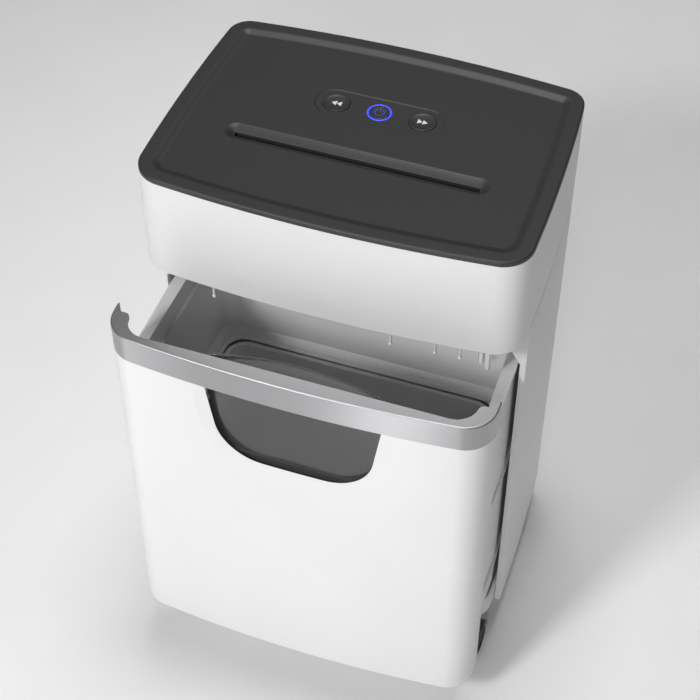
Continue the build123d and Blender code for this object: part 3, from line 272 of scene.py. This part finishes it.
def plan_ring():
    """The shared plan outline as (centre, radius, direction) for each place round it."""
    half_f, half_r, front, rear = FRONT_W / 2, REAR_W / 2, -PLAN_D / 2, PLAN_D / 2
    side = (half_f + half_r) / 2 + SIDE_BOW
    sides = [
        bowed((-half_f, front), (0, front - FRONT_BOW), (half_f, front)),
        bowed((half_f, front), (side, 0), (half_r, rear)),
        bowed((half_r, rear), (0, rear + REAR_BOW), (-half_r, rear)),
        bowed((-half_r, rear), (-side, 0), (-half_f, front)),
    ]
    ends = [(half_f, front), (half_r, rear), (-half_r, rear), (-half_f, front)]
    radii = [FRONT_CORNER, REAR_CORNER, REAR_CORNER, FRONT_CORNER]
    corners = [corner_centre(sides[k], sides[(k + 1) % 4], radii[k], Vector(ends[k])) for k in range(4)]
    ring = []
    for k, steps in enumerate((36, 24, 36, 24)):
        turns = [corners[k - 1] - sides[k][0], corners[k] - sides[k][0], corners[k] - sides[(k + 1) % 4][0]]
        angles = [math.atan2(turn.y, turn.x) for turn in turns]
        for j in (1, 2):
            while angles[j] < angles[j - 1]:
                angles[j] += 2 * math.pi
        for i in range(steps):
            angle = angles[0] + (angles[1] - angles[0]) * i / steps
            ring.append((sides[k][0], sides[k][1], Vector((math.cos(angle), math.sin(angle)))))
        for i in range(12):
            angle = angles[1] + (angles[2] - angles[1]) * i / 12
            ring.append((corners[k], radii[k], Vector((math.cos(angle), math.sin(angle)))))
    return ring


PLAN = plan_ring()


def on_plan(index, inset, z, shift):
    centre, radius, way = PLAN[index]
    place = centre + way * (radius - inset)
    return Vector((place.x * MM, (place.y + CAB_Y + shift) * MM, z * MM))


def swept(name, profile, shift=0.0, closed=True):
    """A wall that follows the plan outline: a loop of edges extruded through (inset, height) steps."""
    bpy.ops.object.select_all(action="DESELECT")
    bpy.ops.mesh.primitive_circle_add(vertices=len(PLAN), radius=1, location=(0, 0, 0))
    piece = bpy.context.object
    piece.name = name
    bpy.ops.object.mode_set(mode="EDIT")
    bpy.ops.mesh.select_mode(type="VERT")
    shape = bmesh.from_edit_mesh(piece.data)
    number = shape.verts.layers.int.new("place")
    shape.verts.ensure_lookup_table()
    for index, vert in enumerate(shape.verts):
        vert[number] = index
    for step, (inset, z) in enumerate(profile):
        if step:
            bpy.ops.mesh.extrude_edges_move(TRANSFORM_OT_translate={"value": (0, 0, MM)})
        shape = bmesh.from_edit_mesh(piece.data)
        number = shape.verts.layers.int["place"]
        for vert in shape.verts:
            if vert.select:
                vert.co = on_plan(vert[number], inset, z, shift)
        bmesh.update_edit_mesh(piece.data)
    bpy.ops.mesh.select_all(action="DESELECT")
    bpy.ops.mesh.select_non_manifold(extend=False)
    if closed:
        bpy.ops.mesh.bridge_edge_loops()
    else:
        bpy.ops.mesh.edge_face_add()
    bpy.ops.mesh.select_all(action="SELECT")
    bpy.ops.mesh.normals_make_consistent(inside=False)
    bpy.ops.object.mode_set(mode="OBJECT")
    return piece


def rounded(centre, radius, start, end, steps):
    """Profile places round a quarter: angles in degrees, inset grows to the right, height up."""
    turns = [math.radians(start + (end - start) * i / steps) for i in range(steps + 1)]
    return [(centre[0] + radius * math.cos(t), centre[1] + radius * math.sin(t)) for t in turns]


def cut(piece, cutter, way="DIFFERENCE"):
    alone(piece)
    change = piece.modifiers.new("cut", "BOOLEAN")
    change.operation = way
    change.solver = "EXACT"
    change.object = cutter
    bpy.ops.object.modifier_apply(modifier=change.name)
    bpy.data.objects.remove(cutter)


def block(x0, x1, y0, y1, z0, z1):
    spans = ((x0, x1), (y0, y1), (z0, z1))
    bpy.ops.object.select_all(action="DESELECT")
    bpy.ops.mesh.primitive_cube_add(size=1, location=[(a + b) / 2 * MM for a, b in spans])
    bpy.context.object.scale = [(b - a) * MM for a, b in spans]
    bpy.ops.object.transform_apply(location=True, rotation=True, scale=True)
    return bpy.context.object


def evened(piece):
    """Lets flats keep their own shading beside rounded edges."""
    flat = piece.modifiers.new("flats", "WEIGHTED_NORMAL")
    flat.keep_sharp = True
    bpy.ops.object.modifier_apply(modifier=flat.name)


def edged(piece, round_mm, steps, sharp):
    alone(piece)
    change = piece.modifiers.new("edges", "BEVEL")
    change.width = round_mm * MM
    change.segments = steps
    change.limit_method = "ANGLE"
    change.angle_limit = math.radians(sharp)
    bpy.ops.object.modifier_apply(modifier=change.name)
    bpy.ops.object.shade_smooth_by_angle(angle=SMOOTH)
    evened(piece)


HEAD_ROUND = 2.4
cover_profile = [(0.0, DECK_Z), (0.0, 520.0), (0.0, 485.0)]
cover_profile += rounded((HEAD_ROUND, HEAD_Z + HEAD_ROUND), HEAD_ROUND, 180, 270, 6)
cover_profile += [(WALL, HEAD_Z + 0.2), (WALL, DECK_Z)]
cover = swept("head_moulding", cover_profile)
VENTS, VENT_X, VENT_PITCH, VENT_W, VENT_LOW, VENT_HIGH = 11, 70.0, 8.0, 3.5, 34.0, 78.0
REAR, REACH = CAB_Y + PLAN_D / 2, 20.0
vents = [block(VENT_X + (k - (VENTS - 1) / 2) * VENT_PITCH - VENT_W / 2,
               VENT_X + (k - (VENTS - 1) / 2) * VENT_PITCH + VENT_W / 2,
               REAR - REACH, REAR + REACH, HEAD_Z + VENT_LOW, HEAD_Z + VENT_HIGH) for k in range(VENTS)]
cut(cover, joined("vent_cutter", vents))
GLAND_X, GLAND_UP, GLAND_R = -110.0, 26.0, 7.0
gland_place = Vector((GLAND_X, REAR, HEAD_Z + GLAND_UP)) * MM
gland_profile = [(0.0, -REACH), (GLAND_R, -REACH), (GLAND_R, REACH), (0.0, REACH)]
cut(cover, turned("gland_cutter", gland_profile, gland_place, Vector((0, 1, 0)), 48))
edged(cover, 0.35, 2, 45)
belongs(cover, "cabinet", "white_plastic", white_plastic, "head_cover")
dress(black_plastic, "cord_gland")

# Top deck: a charcoal lid with a fine matt grain. A broad rim slopes softly into a sunk field,
# which holds the paper trough, with its long rear slope, and the shallow bed of the buttons.
charcoal = moulded("charcoal_plastic", (0.030, 0.030, 0.031), 0.47, 2100, 0.25)
DECK_ROUND = 2.0
FIELD_Z = 559.5
deck_profile = [(WALL, DECK_Z - 2), (WALL, DECK_Z), (0.2, DECK_Z), (0.0, DECK_Z + 0.3)]
deck_profile += rounded((DECK_ROUND, RIM_Z - DECK_ROUND), DECK_ROUND, 180, 90, 6)
SLOPE_IN, SLOPE_OUT, SLOPE_STEPS = 11.0, 19.6, 10
for k in range(SLOPE_STEPS + 1):
    share = k / SLOPE_STEPS
    drop = share * share * (3 - 2 * share) * (RIM_Z - FIELD_Z)
    deck_profile.append((SLOPE_IN + (SLOPE_OUT - SLOPE_IN) * share, RIM_Z - drop))
deck = swept("deck_moulding", deck_profile, closed=False)


def stadium(length, width, steps):
    """Places round a straight-sided loop with round ends."""
    radius, run = width / 2, length / 2 - width / 2
    places = []
    for way in (1, -1):
        for i in range(steps + 1):
            turn = math.pi * (i / steps - 0.5)
            places.append((way * (run + radius * math.cos(turn)), way * radius * math.sin(turn)))
    return places


def lofted(name, loops):
    """A closed form through loops of like places: the first is a circle shaped to the given places, the rest
    extruded.
    """
    bpy.ops.object.select_all(action="DESELECT")
    bpy.ops.mesh.primitive_circle_add(vertices=len(loops[0]), radius=1, fill_type="NGON", location=(0, 0, 0))
    piece = bpy.context.object
    piece.name = name
    bpy.ops.object.mode_set(mode="EDIT")
    bpy.ops.mesh.select_mode(type="VERT")
    shape = bmesh.from_edit_mesh(piece.data)
    number = shape.verts.layers.int.new("place")
    shape.verts.ensure_lookup_table()
    for index, vert in enumerate(shape.verts):
        vert[number] = index
    for step, loop in enumerate(loops):
        if step:
            bpy.ops.mesh.extrude_region_move(TRANSFORM_OT_translate={"value": (0, 0, MM)})
        shape = bmesh.from_edit_mesh(piece.data)
        number = shape.verts.layers.int["place"]
        for vert in shape.verts:
            if vert.select:
                vert.co = Vector(loop[vert[number]]) * MM
        bmesh.update_edit_mesh(piece.data)
    bpy.ops.mesh.select_all(action="SELECT")
    bpy.ops.mesh.normals_make_consistent(inside=False)
    bpy.ops.object.mode_set(mode="OBJECT")
    return piece


SLOT_Y = CAB_Y - 32.0
SLOT_L, SLOT_W, TROUGH_L, TROUGH_W, TROUGH_D = 224.0, 5.0, 237.0, 21.0, 4.3
trough_loops = [[(x, SLOT_Y + y, RIM_Z + 2) for x, y in stadium(TROUGH_L + 1.0, TROUGH_W + 1.0, 18)]]
for share in (0.0, 0.12, 0.3, 0.5, 0.7, 0.85, 1.0):
    width = TROUGH_W + (SLOT_W - TROUGH_W) * share
    length = TROUGH_L + (SLOT_L - TROUGH_L) * share
    z = FIELD_Z - TROUGH_D * (0.35 * share**2 + 0.65 * share)
    trough_loops.append([(x, SLOT_Y + y, z) for x, y in stadium(length, width, 18)])
trough_loops.append([(x, SLOT_Y + y, DECK_Z - 4) for x, y in stadium(SLOT_L, SLOT_W, 18)])
cut(deck, lofted("trough_cutter", trough_loops))
BUTTON_Y, BUTTON_PITCH = CAB_Y + 32.0, 39.5
BED_Z = FIELD_Z - 0.8
bed = [[(x, BUTTON_Y + y, z) for x, y in stadium(118.0 + grow, 35.0 + grow, 16)]
       for z, grow in ((BED_Z, -1.2), (FIELD_Z, 0.6), (FIELD_Z + 2, 4.0))]
cut(deck, lofted("bed_cutter", bed))
BUTTON_R, POWER_R, RING_R = 12.0, 9.2, 11.1
for x, radius in ((-BUTTON_PITCH, BUTTON_R + 0.35), (0.0, RING_R), (BUTTON_PITCH, BUTTON_R + 0.35)):
    hole = [(x + radius * math.cos(math.tau * i / 72), BUTTON_Y + radius * math.sin(math.tau * i / 72))
            for i in range(72)]
    cut(deck, lofted("hole_cutter", [[(*place, z) for place in hole] for z in (DECK_Z - 5, RIM_Z + 2)]))
edged(deck, 0.4, 3, 13)
belongs(deck, "cabinet", "charcoal_plastic", charcoal, "top_deck")
dress(charcoal, "throat_guide")

# Light ring: a diffusing ring of blue plastic round the power button, lit from the board below.
# It is a turned shape with a bevelled top, let into the deck from underneath.
ring_light = moulded("ring_light", (0.03, 0.05, 0.5), 0.35, 900, 0.05)
glow = ring_light.node_tree.nodes["Principled BSDF"]
glow.inputs["Emission Color"].default_value = (0.045, 0.085, 1.0, 1)
glow.inputs["Emission Strength"].default_value = 1.0
RING_TOP = BED_Z + 0.4
ring_profile = [(RING_R - 0.02, DECK_Z - 2), (RING_R - 0.02, RING_TOP - 0.2), (RING_R - 0.3, RING_TOP),
                (POWER_R + 0.7, RING_TOP), (POWER_R + 0.35, RING_TOP - 0.25), (POWER_R + 0.35, DECK_Z - 2),
                (RING_R - 0.02, DECK_Z - 2)]
ring_centre = Vector((0, BUTTON_Y * MM, 0))
ring = turned("power_light_ring", ring_profile, ring_centre, Vector((0, 0, 1)), 72)
belongs(ring, "cabinet", "ring_light", ring_light, "light_ring")

# Buttons: three round keys of the deck's own plastic with dished tops, on stems over the switches.
# Their signs are printed: double arrows back and forward, and the usual on sign in blue.
KEY_TOP = BED_Z + 1.0
DISH, DISH_EDGE = 0.8, 0.2


def dish_z(out):
    """Height of a key's dished top, where out is the square of the share of its radius."""
    return KEY_TOP - DISH_EDGE - DISH * (1 - out)


def key(name, x, radius):
    shoulder = DECK_Z - 2.3
    collar = radius + 1.2
    profile = [(0.0, shoulder), (collar, shoulder), (collar, shoulder + 0.01), (radius, shoulder + 0.02),
               (radius, KEY_TOP - 0.6), (radius - 0.2, KEY_TOP - 0.2), (radius - 0.8, KEY_TOP),
               (radius - 1.6, KEY_TOP - 0.08)]
    profile += [(radius * share, dish_z(share * share)) for share in (0.8, 0.65, 0.5, 0.35, 0.2, 0)]
    return turned(name + "_key", profile, Vector((x * MM, BUTTON_Y * MM, 0)), Vector((0, 0, 1)), 72)


sign_white = moulded("sign_white", (0.72, 0.72, 0.72), 0.5, 1500, 0.05)
# The blue on sign is print, and the faint blue emission given to it is a painted glow: no lamp lights it.
sign_blue = moulded("sign_blue", (0.03, 0.05, 0.4), 0.5, 900, 0.05)
painted_glow = sign_blue.node_tree.nodes["Principled BSDF"]
painted_glow.inputs["Emission Color"].default_value = (0.03, 0.06, 0.8, 1)
painted_glow.inputs["Emission Strength"].default_value = 0.35


def sign(name, x, radius, outlines):
    """Flat printed shapes laid on a key's dish, a hair above it."""
    plates = []
    for places in outlines:
        loops = []
        for lift in (-0.15, 0.05):
            loops.append([(x + px, BUTTON_Y + py, dish_z((px * px + py * py) / radius**2) + lift)
                          for px, py in places])
        plates.append(lofted("plate", loops))
    return joined(name, plates)


def finely(places, steps=6):
    """The same outline with more places along each straight."""
    fine = []
    for (ax, ay), (bx, by) in zip(places, places[1:] + places[:1]):
        fine += [(ax + (bx - ax) * i / steps, ay + (by - ay) * i / steps) for i in range(steps)]
    return fine


ARROW_W, ARROW_H = 4.6, 3.0
for name, x, way in (("reverse_button", -BUTTON_PITCH, -1), ("forward_button", BUTTON_PITCH, 1)):
    belongs(key(name, x, BUTTON_R), name, "charcoal_plastic", charcoal, name)
    arrows = [finely([(way * start, -ARROW_H), (way * (start + ARROW_W), 0.0), (way * start, ARROW_H)])
              for start in (-ARROW_W, 0.1)]
    belongs(sign(name + "_sign", x, BUTTON_R, arrows), name, "charcoal_plastic", sign_white)
belongs(key("power_button", 0.0, POWER_R), "power_button", "charcoal_plastic", charcoal, "power_button")
GAP_TURN, ARC_R, ARC_W = 0.62, 4.3, 0.75
arc = [(radius * math.sin(turn), radius * math.cos(turn)) for radius, turns in
       ((ARC_R + ARC_W / 2, range(0, 25)), (ARC_R - ARC_W / 2, range(24, -1, -1)))
       for turn in [GAP_TURN + (math.tau - 2 * GAP_TURN) * i / 24 for i in turns]]
bar = finely([(-ARC_W / 2, 1.2), (ARC_W / 2, 1.2), (ARC_W / 2, 5.2), (-ARC_W / 2, 5.2)])
belongs(sign("power_sign", 0.0, POWER_R, [arc, bar]), "power_button", "ring_light", sign_blue)
dress(black_plastic, "button_switches")
board_green = moulded("board_green", (0.02, 0.13, 0.055), 0.35, 800, 0.15)
dress(board_green, "control_board")

# Bin tub: a grey moulded bucket with a rim flange, a stepped collar and a ledge round its well.
# It slides on the tray's runners. Thin ribs stiffen its outside, and its sides pass close by the
# cabinet's flanges, so they are let out as far as the middle and run in again towards the rear.
tub = softened("tub_moulding", "bin_tub", 1.6, 3, 25)
OUT = -83.0
TUB_FRONT_Y, TUB_REAR_Y, TUB_RIM_Z = -108.0, 98.0, 396.0
TUB_FRONT_HALF, TUB_REAR_HALF = 164.8, 160.0
SKIRT_HALF, SKIRT_TAPER, SKIRT_BACK, SKIRT_IN, SKIRT_WALL = 163.6, 0.032, 8.0, 5.0, 3.2
RIB_PROUD, RIB_IN = 1.9, 0.5
RIM_PROUD, RIM_TALL, RIM_WIDE, RIM_UNDER = 1.4, 5.0, 3.0, 2.5
CORNER_Y, CORNER_FADE = TUB_REAR_Y - 8, 40.0
alone(tub)
bpy.ops.mesh.customdata_custom_splitnormals_clear()
shape = bmesh.new()
shape.from_mesh(tub.data)
bmesh.ops.bisect_plane(shape, geom=shape.verts[:] + shape.edges[:] + shape.faces[:], dist=1e-6,
                       plane_co=(0, (CAB_Y + OUT + SKIRT_BACK) * MM, 0), plane_no=(0, 1, 0))
shape.to_mesh(tub.data)
shape.free()
for vert in tub.data.vertices:
    x, y, z = vert.co / MM
    along = y - CAB_Y - OUT
    back = (along - TUB_FRONT_Y) / (TUB_REAR_Y - TUB_FRONT_Y)
    past = abs(x) - (TUB_FRONT_HALF + (TUB_REAR_HALF - TUB_FRONT_HALF) * back)
    if z > TUB_RIM_Z + 1 or past < -SKIRT_IN - SKIRT_WALL:
        continue
    skirt = SKIRT_HALF - SKIRT_TAPER * max(0, along - SKIRT_BACK)
    if z > TUB_RIM_Z - RIM_TALL and past > -RIM_WIDE:
        side = skirt + RIM_PROUD + past
    elif past > -SKIRT_IN:
        side = skirt + RIB_PROUD * (past + SKIRT_IN) / (SKIRT_IN - RIB_IN)
    elif z < TUB_RIM_Z - RIM_UNDER:
        side = skirt + past + SKIRT_IN
    else:
        continue
    share = min(1, max(0, (CORNER_Y - along) / CORNER_FADE))
    vert.co.x = math.copysign((share * side + (1 - share) * abs(x)) * MM, x)
evened(tub)
belongs(tub, "bin", "bin_plastic", bin_plastic, "bin_tub")

# Front panel: the bin's white bowed front, wrapped round to both sides, with a rounded window
# cut into its top edge. The window's border slopes into the panel, and a lip behind carries the band.
PANEL_Z, BAND_Z = 52.0, 422.0
panel_profile = [(0.0, BAND_Z), (0.0, 330.0), (0.0, 200.0)]
panel_profile += rounded((1.2, PANEL_Z + 1.2), 1.2, 180, 270, 4)
panel_profile += [(WALL, PANEL_Z + 0.2), (WALL, BAND_Z)]
panel = swept("panel_moulding", panel_profile, OUT)


def front_part(piece, y):
    """Keeps what lies in front of a plan place and closes the cut."""
    alone(piece)
    bpy.ops.object.mode_set(mode="EDIT")
    bpy.ops.mesh.select_all(action="SELECT")
    bpy.ops.mesh.bisect(plane_co=(0, (CAB_Y + OUT + y) * MM, 0), plane_no=(0, 1, 0),
                        use_fill=True, clear_outer=True)
    bpy.ops.object.mode_set(mode="OBJECT")


PANEL_END_Y, LIP_END_Y, BAND_END_Y = -79.0, -87.0, -78.0
front_part(panel, PANEL_END_Y)
WINDOW_X, WINDOW_TOP, WINDOW_FOOT, WINDOW_Z, WINDOW_R = 2.2, 80.2, 67.0, 337.0, 44.0
lean = math.atan2(WINDOW_TOP - WINDOW_FOOT, BAND_Z - WINDOW_Z)
FRONT_Y = CAB_Y + OUT - PLAN_D / 2 - FRONT_BOW


def window_places(grow):
    """The window's outline in (x, z), let out by grow, from the top left round the foot to the top right."""
    radius = WINDOW_R + grow
    tall = BAND_Z + 30
    foot = WINDOW_FOOT - WINDOW_R * math.tan((math.pi / 2 - lean) / 2)
    turn = math.pi / 2 - lean
    right = [(foot * i / 10, WINDOW_Z - grow) for i in range(0, 10)]
    for i in range(0, 13):
        a = -math.pi / 2 + turn * i / 12
        right.append((foot + radius * math.cos(a), WINDOW_Z + WINDOW_R + radius * math.sin(a)))
    x0, z0 = right[-1]
    right += [(x0 + (tall - z0) * math.tan(lean) * i / 6, z0 + (tall - z0) * i / 6) for i in range(1, 7)]
    top = [(right[-1][0] * (1 - i / 10), tall) for i in range(1, 10)]
    half = right + top
    left = [(-x, z) for x, z in half[:0:-1]]
    return [(x + WINDOW_X, z) for x, z in half + [(0.0, tall)] + left]


def front_y(x):
    """Where the panel's bowed face stands at x."""
    return FRONT_Y + FRONT_BOW * (2 * x / FRONT_W) ** 2


BORDER, BORDER_D, SLOPE_TURN, EDGE_TURN = 12.0, 2.7, 7, 14
window_loops = [[(x, front_y(x) + depth, z) for x, z in window_places(grow)]
                for grow, depth in ((2 * BORDER, -BORDER_D), (0.0, BORDER_D))]
BEFORE, BEHIND = FRONT_Y - 20, FRONT_Y + 40
window_loops.insert(0, [(x, BEFORE, z) for x, z in window_places(2 * BORDER)])
window_loops.append([(x, BEHIND, z) for x, z in window_places(0.0)])
cut(panel, lofted("window_cutter", window_loops))
shape = bmesh.new()
shape.from_mesh(panel.data)
for line in shape.edges:
    if line.is_manifold and SLOPE_TURN < math.degrees(line.calc_face_angle()) < EDGE_TURN:
        line.smooth = False
shape.to_mesh(panel.data)
shape.free()
edged(panel, 0.4, 3, EDGE_TURN)
LIP_T, LIP_TOP, LIP_FOOT, BAND_T = 2.6, 447.0, 412.0, 2.6
LIP_IN = BAND_T + LIP_T
lip = swept("panel_lip", [(BAND_T, LIP_TOP), (BAND_T, BAND_Z + 0.05), (WALL - 0.05, BAND_Z - 0.05),
                          (WALL - 0.05, LIP_FOOT), (LIP_IN, LIP_FOOT), (LIP_IN, LIP_TOP)], OUT)
front_part(lip, LIP_END_Y)
hand = [[(x, y, z) for x, z in window_places(0.0)] for y in (FRONT_Y - 10, BEHIND)]
keep_low = lofted("hand_cutter", hand)
cut(keep_low, block(-200, 200, BEFORE, FRONT_Y + 60, 300, BAND_Z), "INTERSECT")
cut(lip, keep_low)
bpy.ops.object.shade_smooth_by_angle(angle=SMOOTH)
panel = joined("panel_moulding", [panel, lip])
belongs(panel, "bin", "white_plastic", white_plastic, "front_panel")

# Handle band: a plastic rail with a satin silver coat along the top of the bin's front.
# Its top is turned in as a flange to pull by, and its ends run back along the sides.
BAND_TOP, BAND_ROUND, FLANGE_T, FLANGE_W = 450.5, 1.3, 3.0, 19.0
band_profile = [(0.0, BAND_Z + 0.2), (0.0, 436.0)]
band_profile += rounded((BAND_ROUND, BAND_TOP - BAND_ROUND), BAND_ROUND, 180, 90, 6)
band_profile += [(FLANGE_W, BAND_TOP), (FLANGE_W, BAND_TOP - FLANGE_T), (BAND_T, BAND_TOP - FLANGE_T),
                 (BAND_T, BAND_Z + 0.2)]
band = swept("band_moulding", band_profile, OUT)
front_part(band, BAND_END_Y)
OPEN_HALF, OPEN_Y, OPEN_R = 157.0, CAB_Y + OUT - 109.5, 20.0
opening = []
for way in (-1, 1):
    turns = [math.radians(a) for a in (range(180, 271, 6) if way < 0 else range(270, 361, 6))]
    opening += [(way * (OPEN_HALF - OPEN_R) + OPEN_R * math.cos(t), OPEN_Y + OPEN_R + OPEN_R * math.sin(t))
                for t in turns]
opening += [(OPEN_HALF, OPEN_Y + 120), (-OPEN_HALF, OPEN_Y + 120)]
cut(band, lofted("grip_cutter", [[(x, y, z) for x, y in opening] for z in (BAND_Z - 10, BAND_TOP + 10)]))
END_Y, END_IN, END_R = CAB_Y + OUT - 87.0, 169.6, 5.0
for way in (-1, 1):
    inner = OPEN_HALF + END_R
    turns = [math.radians(angle) for angle in range(180, 89, -10)]
    end = [(way * (inner + END_R * math.cos(t)), END_Y - END_R + END_R * math.sin(t)) for t in turns]
    end = [(way * (OPEN_HALF - 1), END_Y - END_R)] + end
    end += [(way * (END_IN - 1.2), END_Y), (way * END_IN, END_Y + 1.5), (way * 171.6, END_Y + 9.0)]
    end += [(way * 171.6, END_Y + 30), (way * (OPEN_HALF - 1), END_Y + 30)]
    cut(band, lofted("end_cutter", [[(*place, z) for place in end] for z in (BAND_Z - 10, BAND_TOP + 10)]))
edged(band, 0.5, 3, 30)
silver = moulded("silver_coat", (0.40, 0.40, 0.41), 0.36, 3000, 0.04)
silver.node_tree.nodes["Principled BSDF"].inputs["Metallic"].default_value = 0.9
belongs(band, "bin", "silver_coat", silver, "handle_band")

# Window cup: a thin smoky bowl behind the window that keeps the chips in and leaves room for the hand.
# It is moulded in one from clear plastic with a grey tint, and hangs on the panel by its side edges.
clear_plastic = moulded("clear_plastic", (0.19, 0.193, 0.193), 0.12, 400, 0.01)
sheer = clear_plastic.node_tree.nodes["Principled BSDF"]
sheer.inputs["IOR"].default_value = 1.55
sheer.inputs["Transmission Weight"].default_value = 0.75
sheer.inputs["Coat Weight"].default_value = 0.3
sheer.inputs["Coat Roughness"].default_value = 0.02
CUP_TOP, CUP_FOOT, CUP_T = 447.0, 322.0, 2.0
INNER = -PLAN_D / 2 - FRONT_BOW + WALL
cup_steps = [(CUP_FOOT, 66.0, INNER + 2.0, INNER + 4.0), (CUP_FOOT + 47.5, 80.0, -111.0, -100.0),
             (CUP_FOOT + 86.0, 81.0, -105.5, -93.5), (CUP_TOP, 75.0, -104.5, -94.0)]


def between(share):
    """A smooth course through the cup's four measured sections."""
    spot = share * 3
    k = min(2, int(spot))
    t = spot - k
    a, b, c, d = (cup_steps[min(3, max(0, k + j))] for j in (-1, 0, 1, 2))
    return [b[i] + 0.5 * t * (c[i] - a[i] + t * (2 * a[i] - 5 * b[i] + 4 * c[i] - d[i]
            + t * (3 * (b[i] - c[i]) + d[i] - a[i]))) for i in range(4)]


CUP_COLS, CUP_ROWS = 33, 25
CUP_FLANGE, CUP_CLEAR, PANEL_SEAT, LIP_SEAT = 3.0, 1.0, 0.2, 2.4


def panel_inside(x, z):
    """Where the panel's inner face stands at x, or its lip's, higher up."""
    return INNER + FRONT_BOW * (2 * x / FRONT_W) ** 2 + (LIP_SEAT if z > LIP_FOOT else PANEL_SEAT)


bpy.ops.object.select_all(action="DESELECT")
bpy.ops.mesh.primitive_grid_add(x_subdivisions=CUP_COLS - 1, y_subdivisions=CUP_ROWS - 1,
                                size=1, location=(0, 0, 0))
cup = bpy.context.object
cup.name = "cup_moulding"
for vert in cup.data.vertices:
    col = round((vert.co.x + 0.5) * (CUP_COLS - 1))
    row = round((vert.co.y + 0.5) * (CUP_ROWS - 1))
    z, half, side_y, back_y = between(row / (CUP_ROWS - 1))
    if col in (0, CUP_COLS - 1):
        x = (half + CUP_FLANGE) * (-1 if col == 0 else 1)
        y = panel_inside(x, z)
    else:
        share = (col - 1) / (CUP_COLS - 3) * 2 - 1
        x = half * share
        y = side_y + (back_y - side_y) * (1 - share * share)
        y = max(y, panel_inside(x, z) + CUP_CLEAR)
    vert.co = Vector((x, CAB_Y + OUT + y, z)) * MM
alone(cup)
thick = cup.modifiers.new("wall", "SOLIDIFY")
thick.thickness = CUP_T * MM
thick.offset = 0
bpy.ops.object.modifier_apply(modifier="wall")
edged(cup, 0.5, 2, 50)
belongs(cup, "bin", "clear_plastic", clear_plastic, "window_cup")

# Studio: a pale floor, a strong soft light from the left in front and a weaker one from the right,
# a pool of light from overhead, and four narrow strips in front that streak the glossy pieces.
bpy.ops.object.select_all(action="DESELECT")
bpy.ops.mesh.primitive_plane_add(size=14, location=(0, 0, 0))
floor = bpy.context.object
floor.name = "studio_floor"
floor.data.materials.append(moulded("studio_floor", (0.90, 0.90, 0.90), 0.9, 60, 0.02))
world = bpy.data.worlds.new("studio")
bpy.context.scene.world = world
world.use_nodes = True
world.node_tree.nodes["Background"].inputs["Color"].default_value = (1, 1, 1, 1)
world.node_tree.nodes["Background"].inputs["Strength"].default_value = 0.10


def softbox(name, place, target, width, height, watts, spread=180):
    lamp = bpy.data.lights.new(name, "AREA")
    lamp.shape = "RECTANGLE"
    lamp.size, lamp.size_y = width, height
    lamp.energy = watts
    lamp.spread = math.radians(spread)
    holder = bpy.data.objects.new(name, lamp)
    holder.location = place
    holder.rotation_euler = (Vector(target) - Vector(place)).to_track_quat("-Z", "Y").to_euler()
    holder.visible_camera = False
    bpy.context.scene.collection.objects.link(holder)


softbox("key", (-0.96, -2.35, 2.43), (0, -0.05, 0.35), 0.5, 0.5, 48)
softbox("second", (0.52, -2.46, 2.30), (0, -0.05, 0.35), 0.5, 0.5, 16)
softbox("overhead", (0, 0.5, 3.2), (0, 0.5, 0), 1.0, 1.0, 7, 70)
softbox("strip_front", (0.08, -1.28, 0.31), (0.06, -0.94, 1.25), 0.12, 1.8, 1.6)
softbox("strip_left", (-0.942, -0.909, 0.31), (-0.697, -0.673, 1.25), 0.12, 1.8, 0.8)
softbox("stand_front", (0.0, -2.2, 0.95), (0, -0.1, 0.4), 0.08, 1.4, 3)
softbox("stand_left", (-1.2, -1.85, 0.95), (0, -0.1, 0.4), 0.08, 1.4, 3)

camera = bpy.data.objects.new("camera", bpy.data.cameras.new("camera"))
camera.data.lens = 88.33
camera.data.sensor_width = 36
camera.location = (0.35885, -1.031655, 1.52474)
camera.rotation_euler = Vector((-0.22225, 0.63656, -0.73849)).to_track_quat("-Z", "Y").to_euler()
bpy.context.scene.collection.objects.link(camera)
bpy.context.scene.camera = camera
bpy.context.scene.view_settings.view_transform = "Standard"
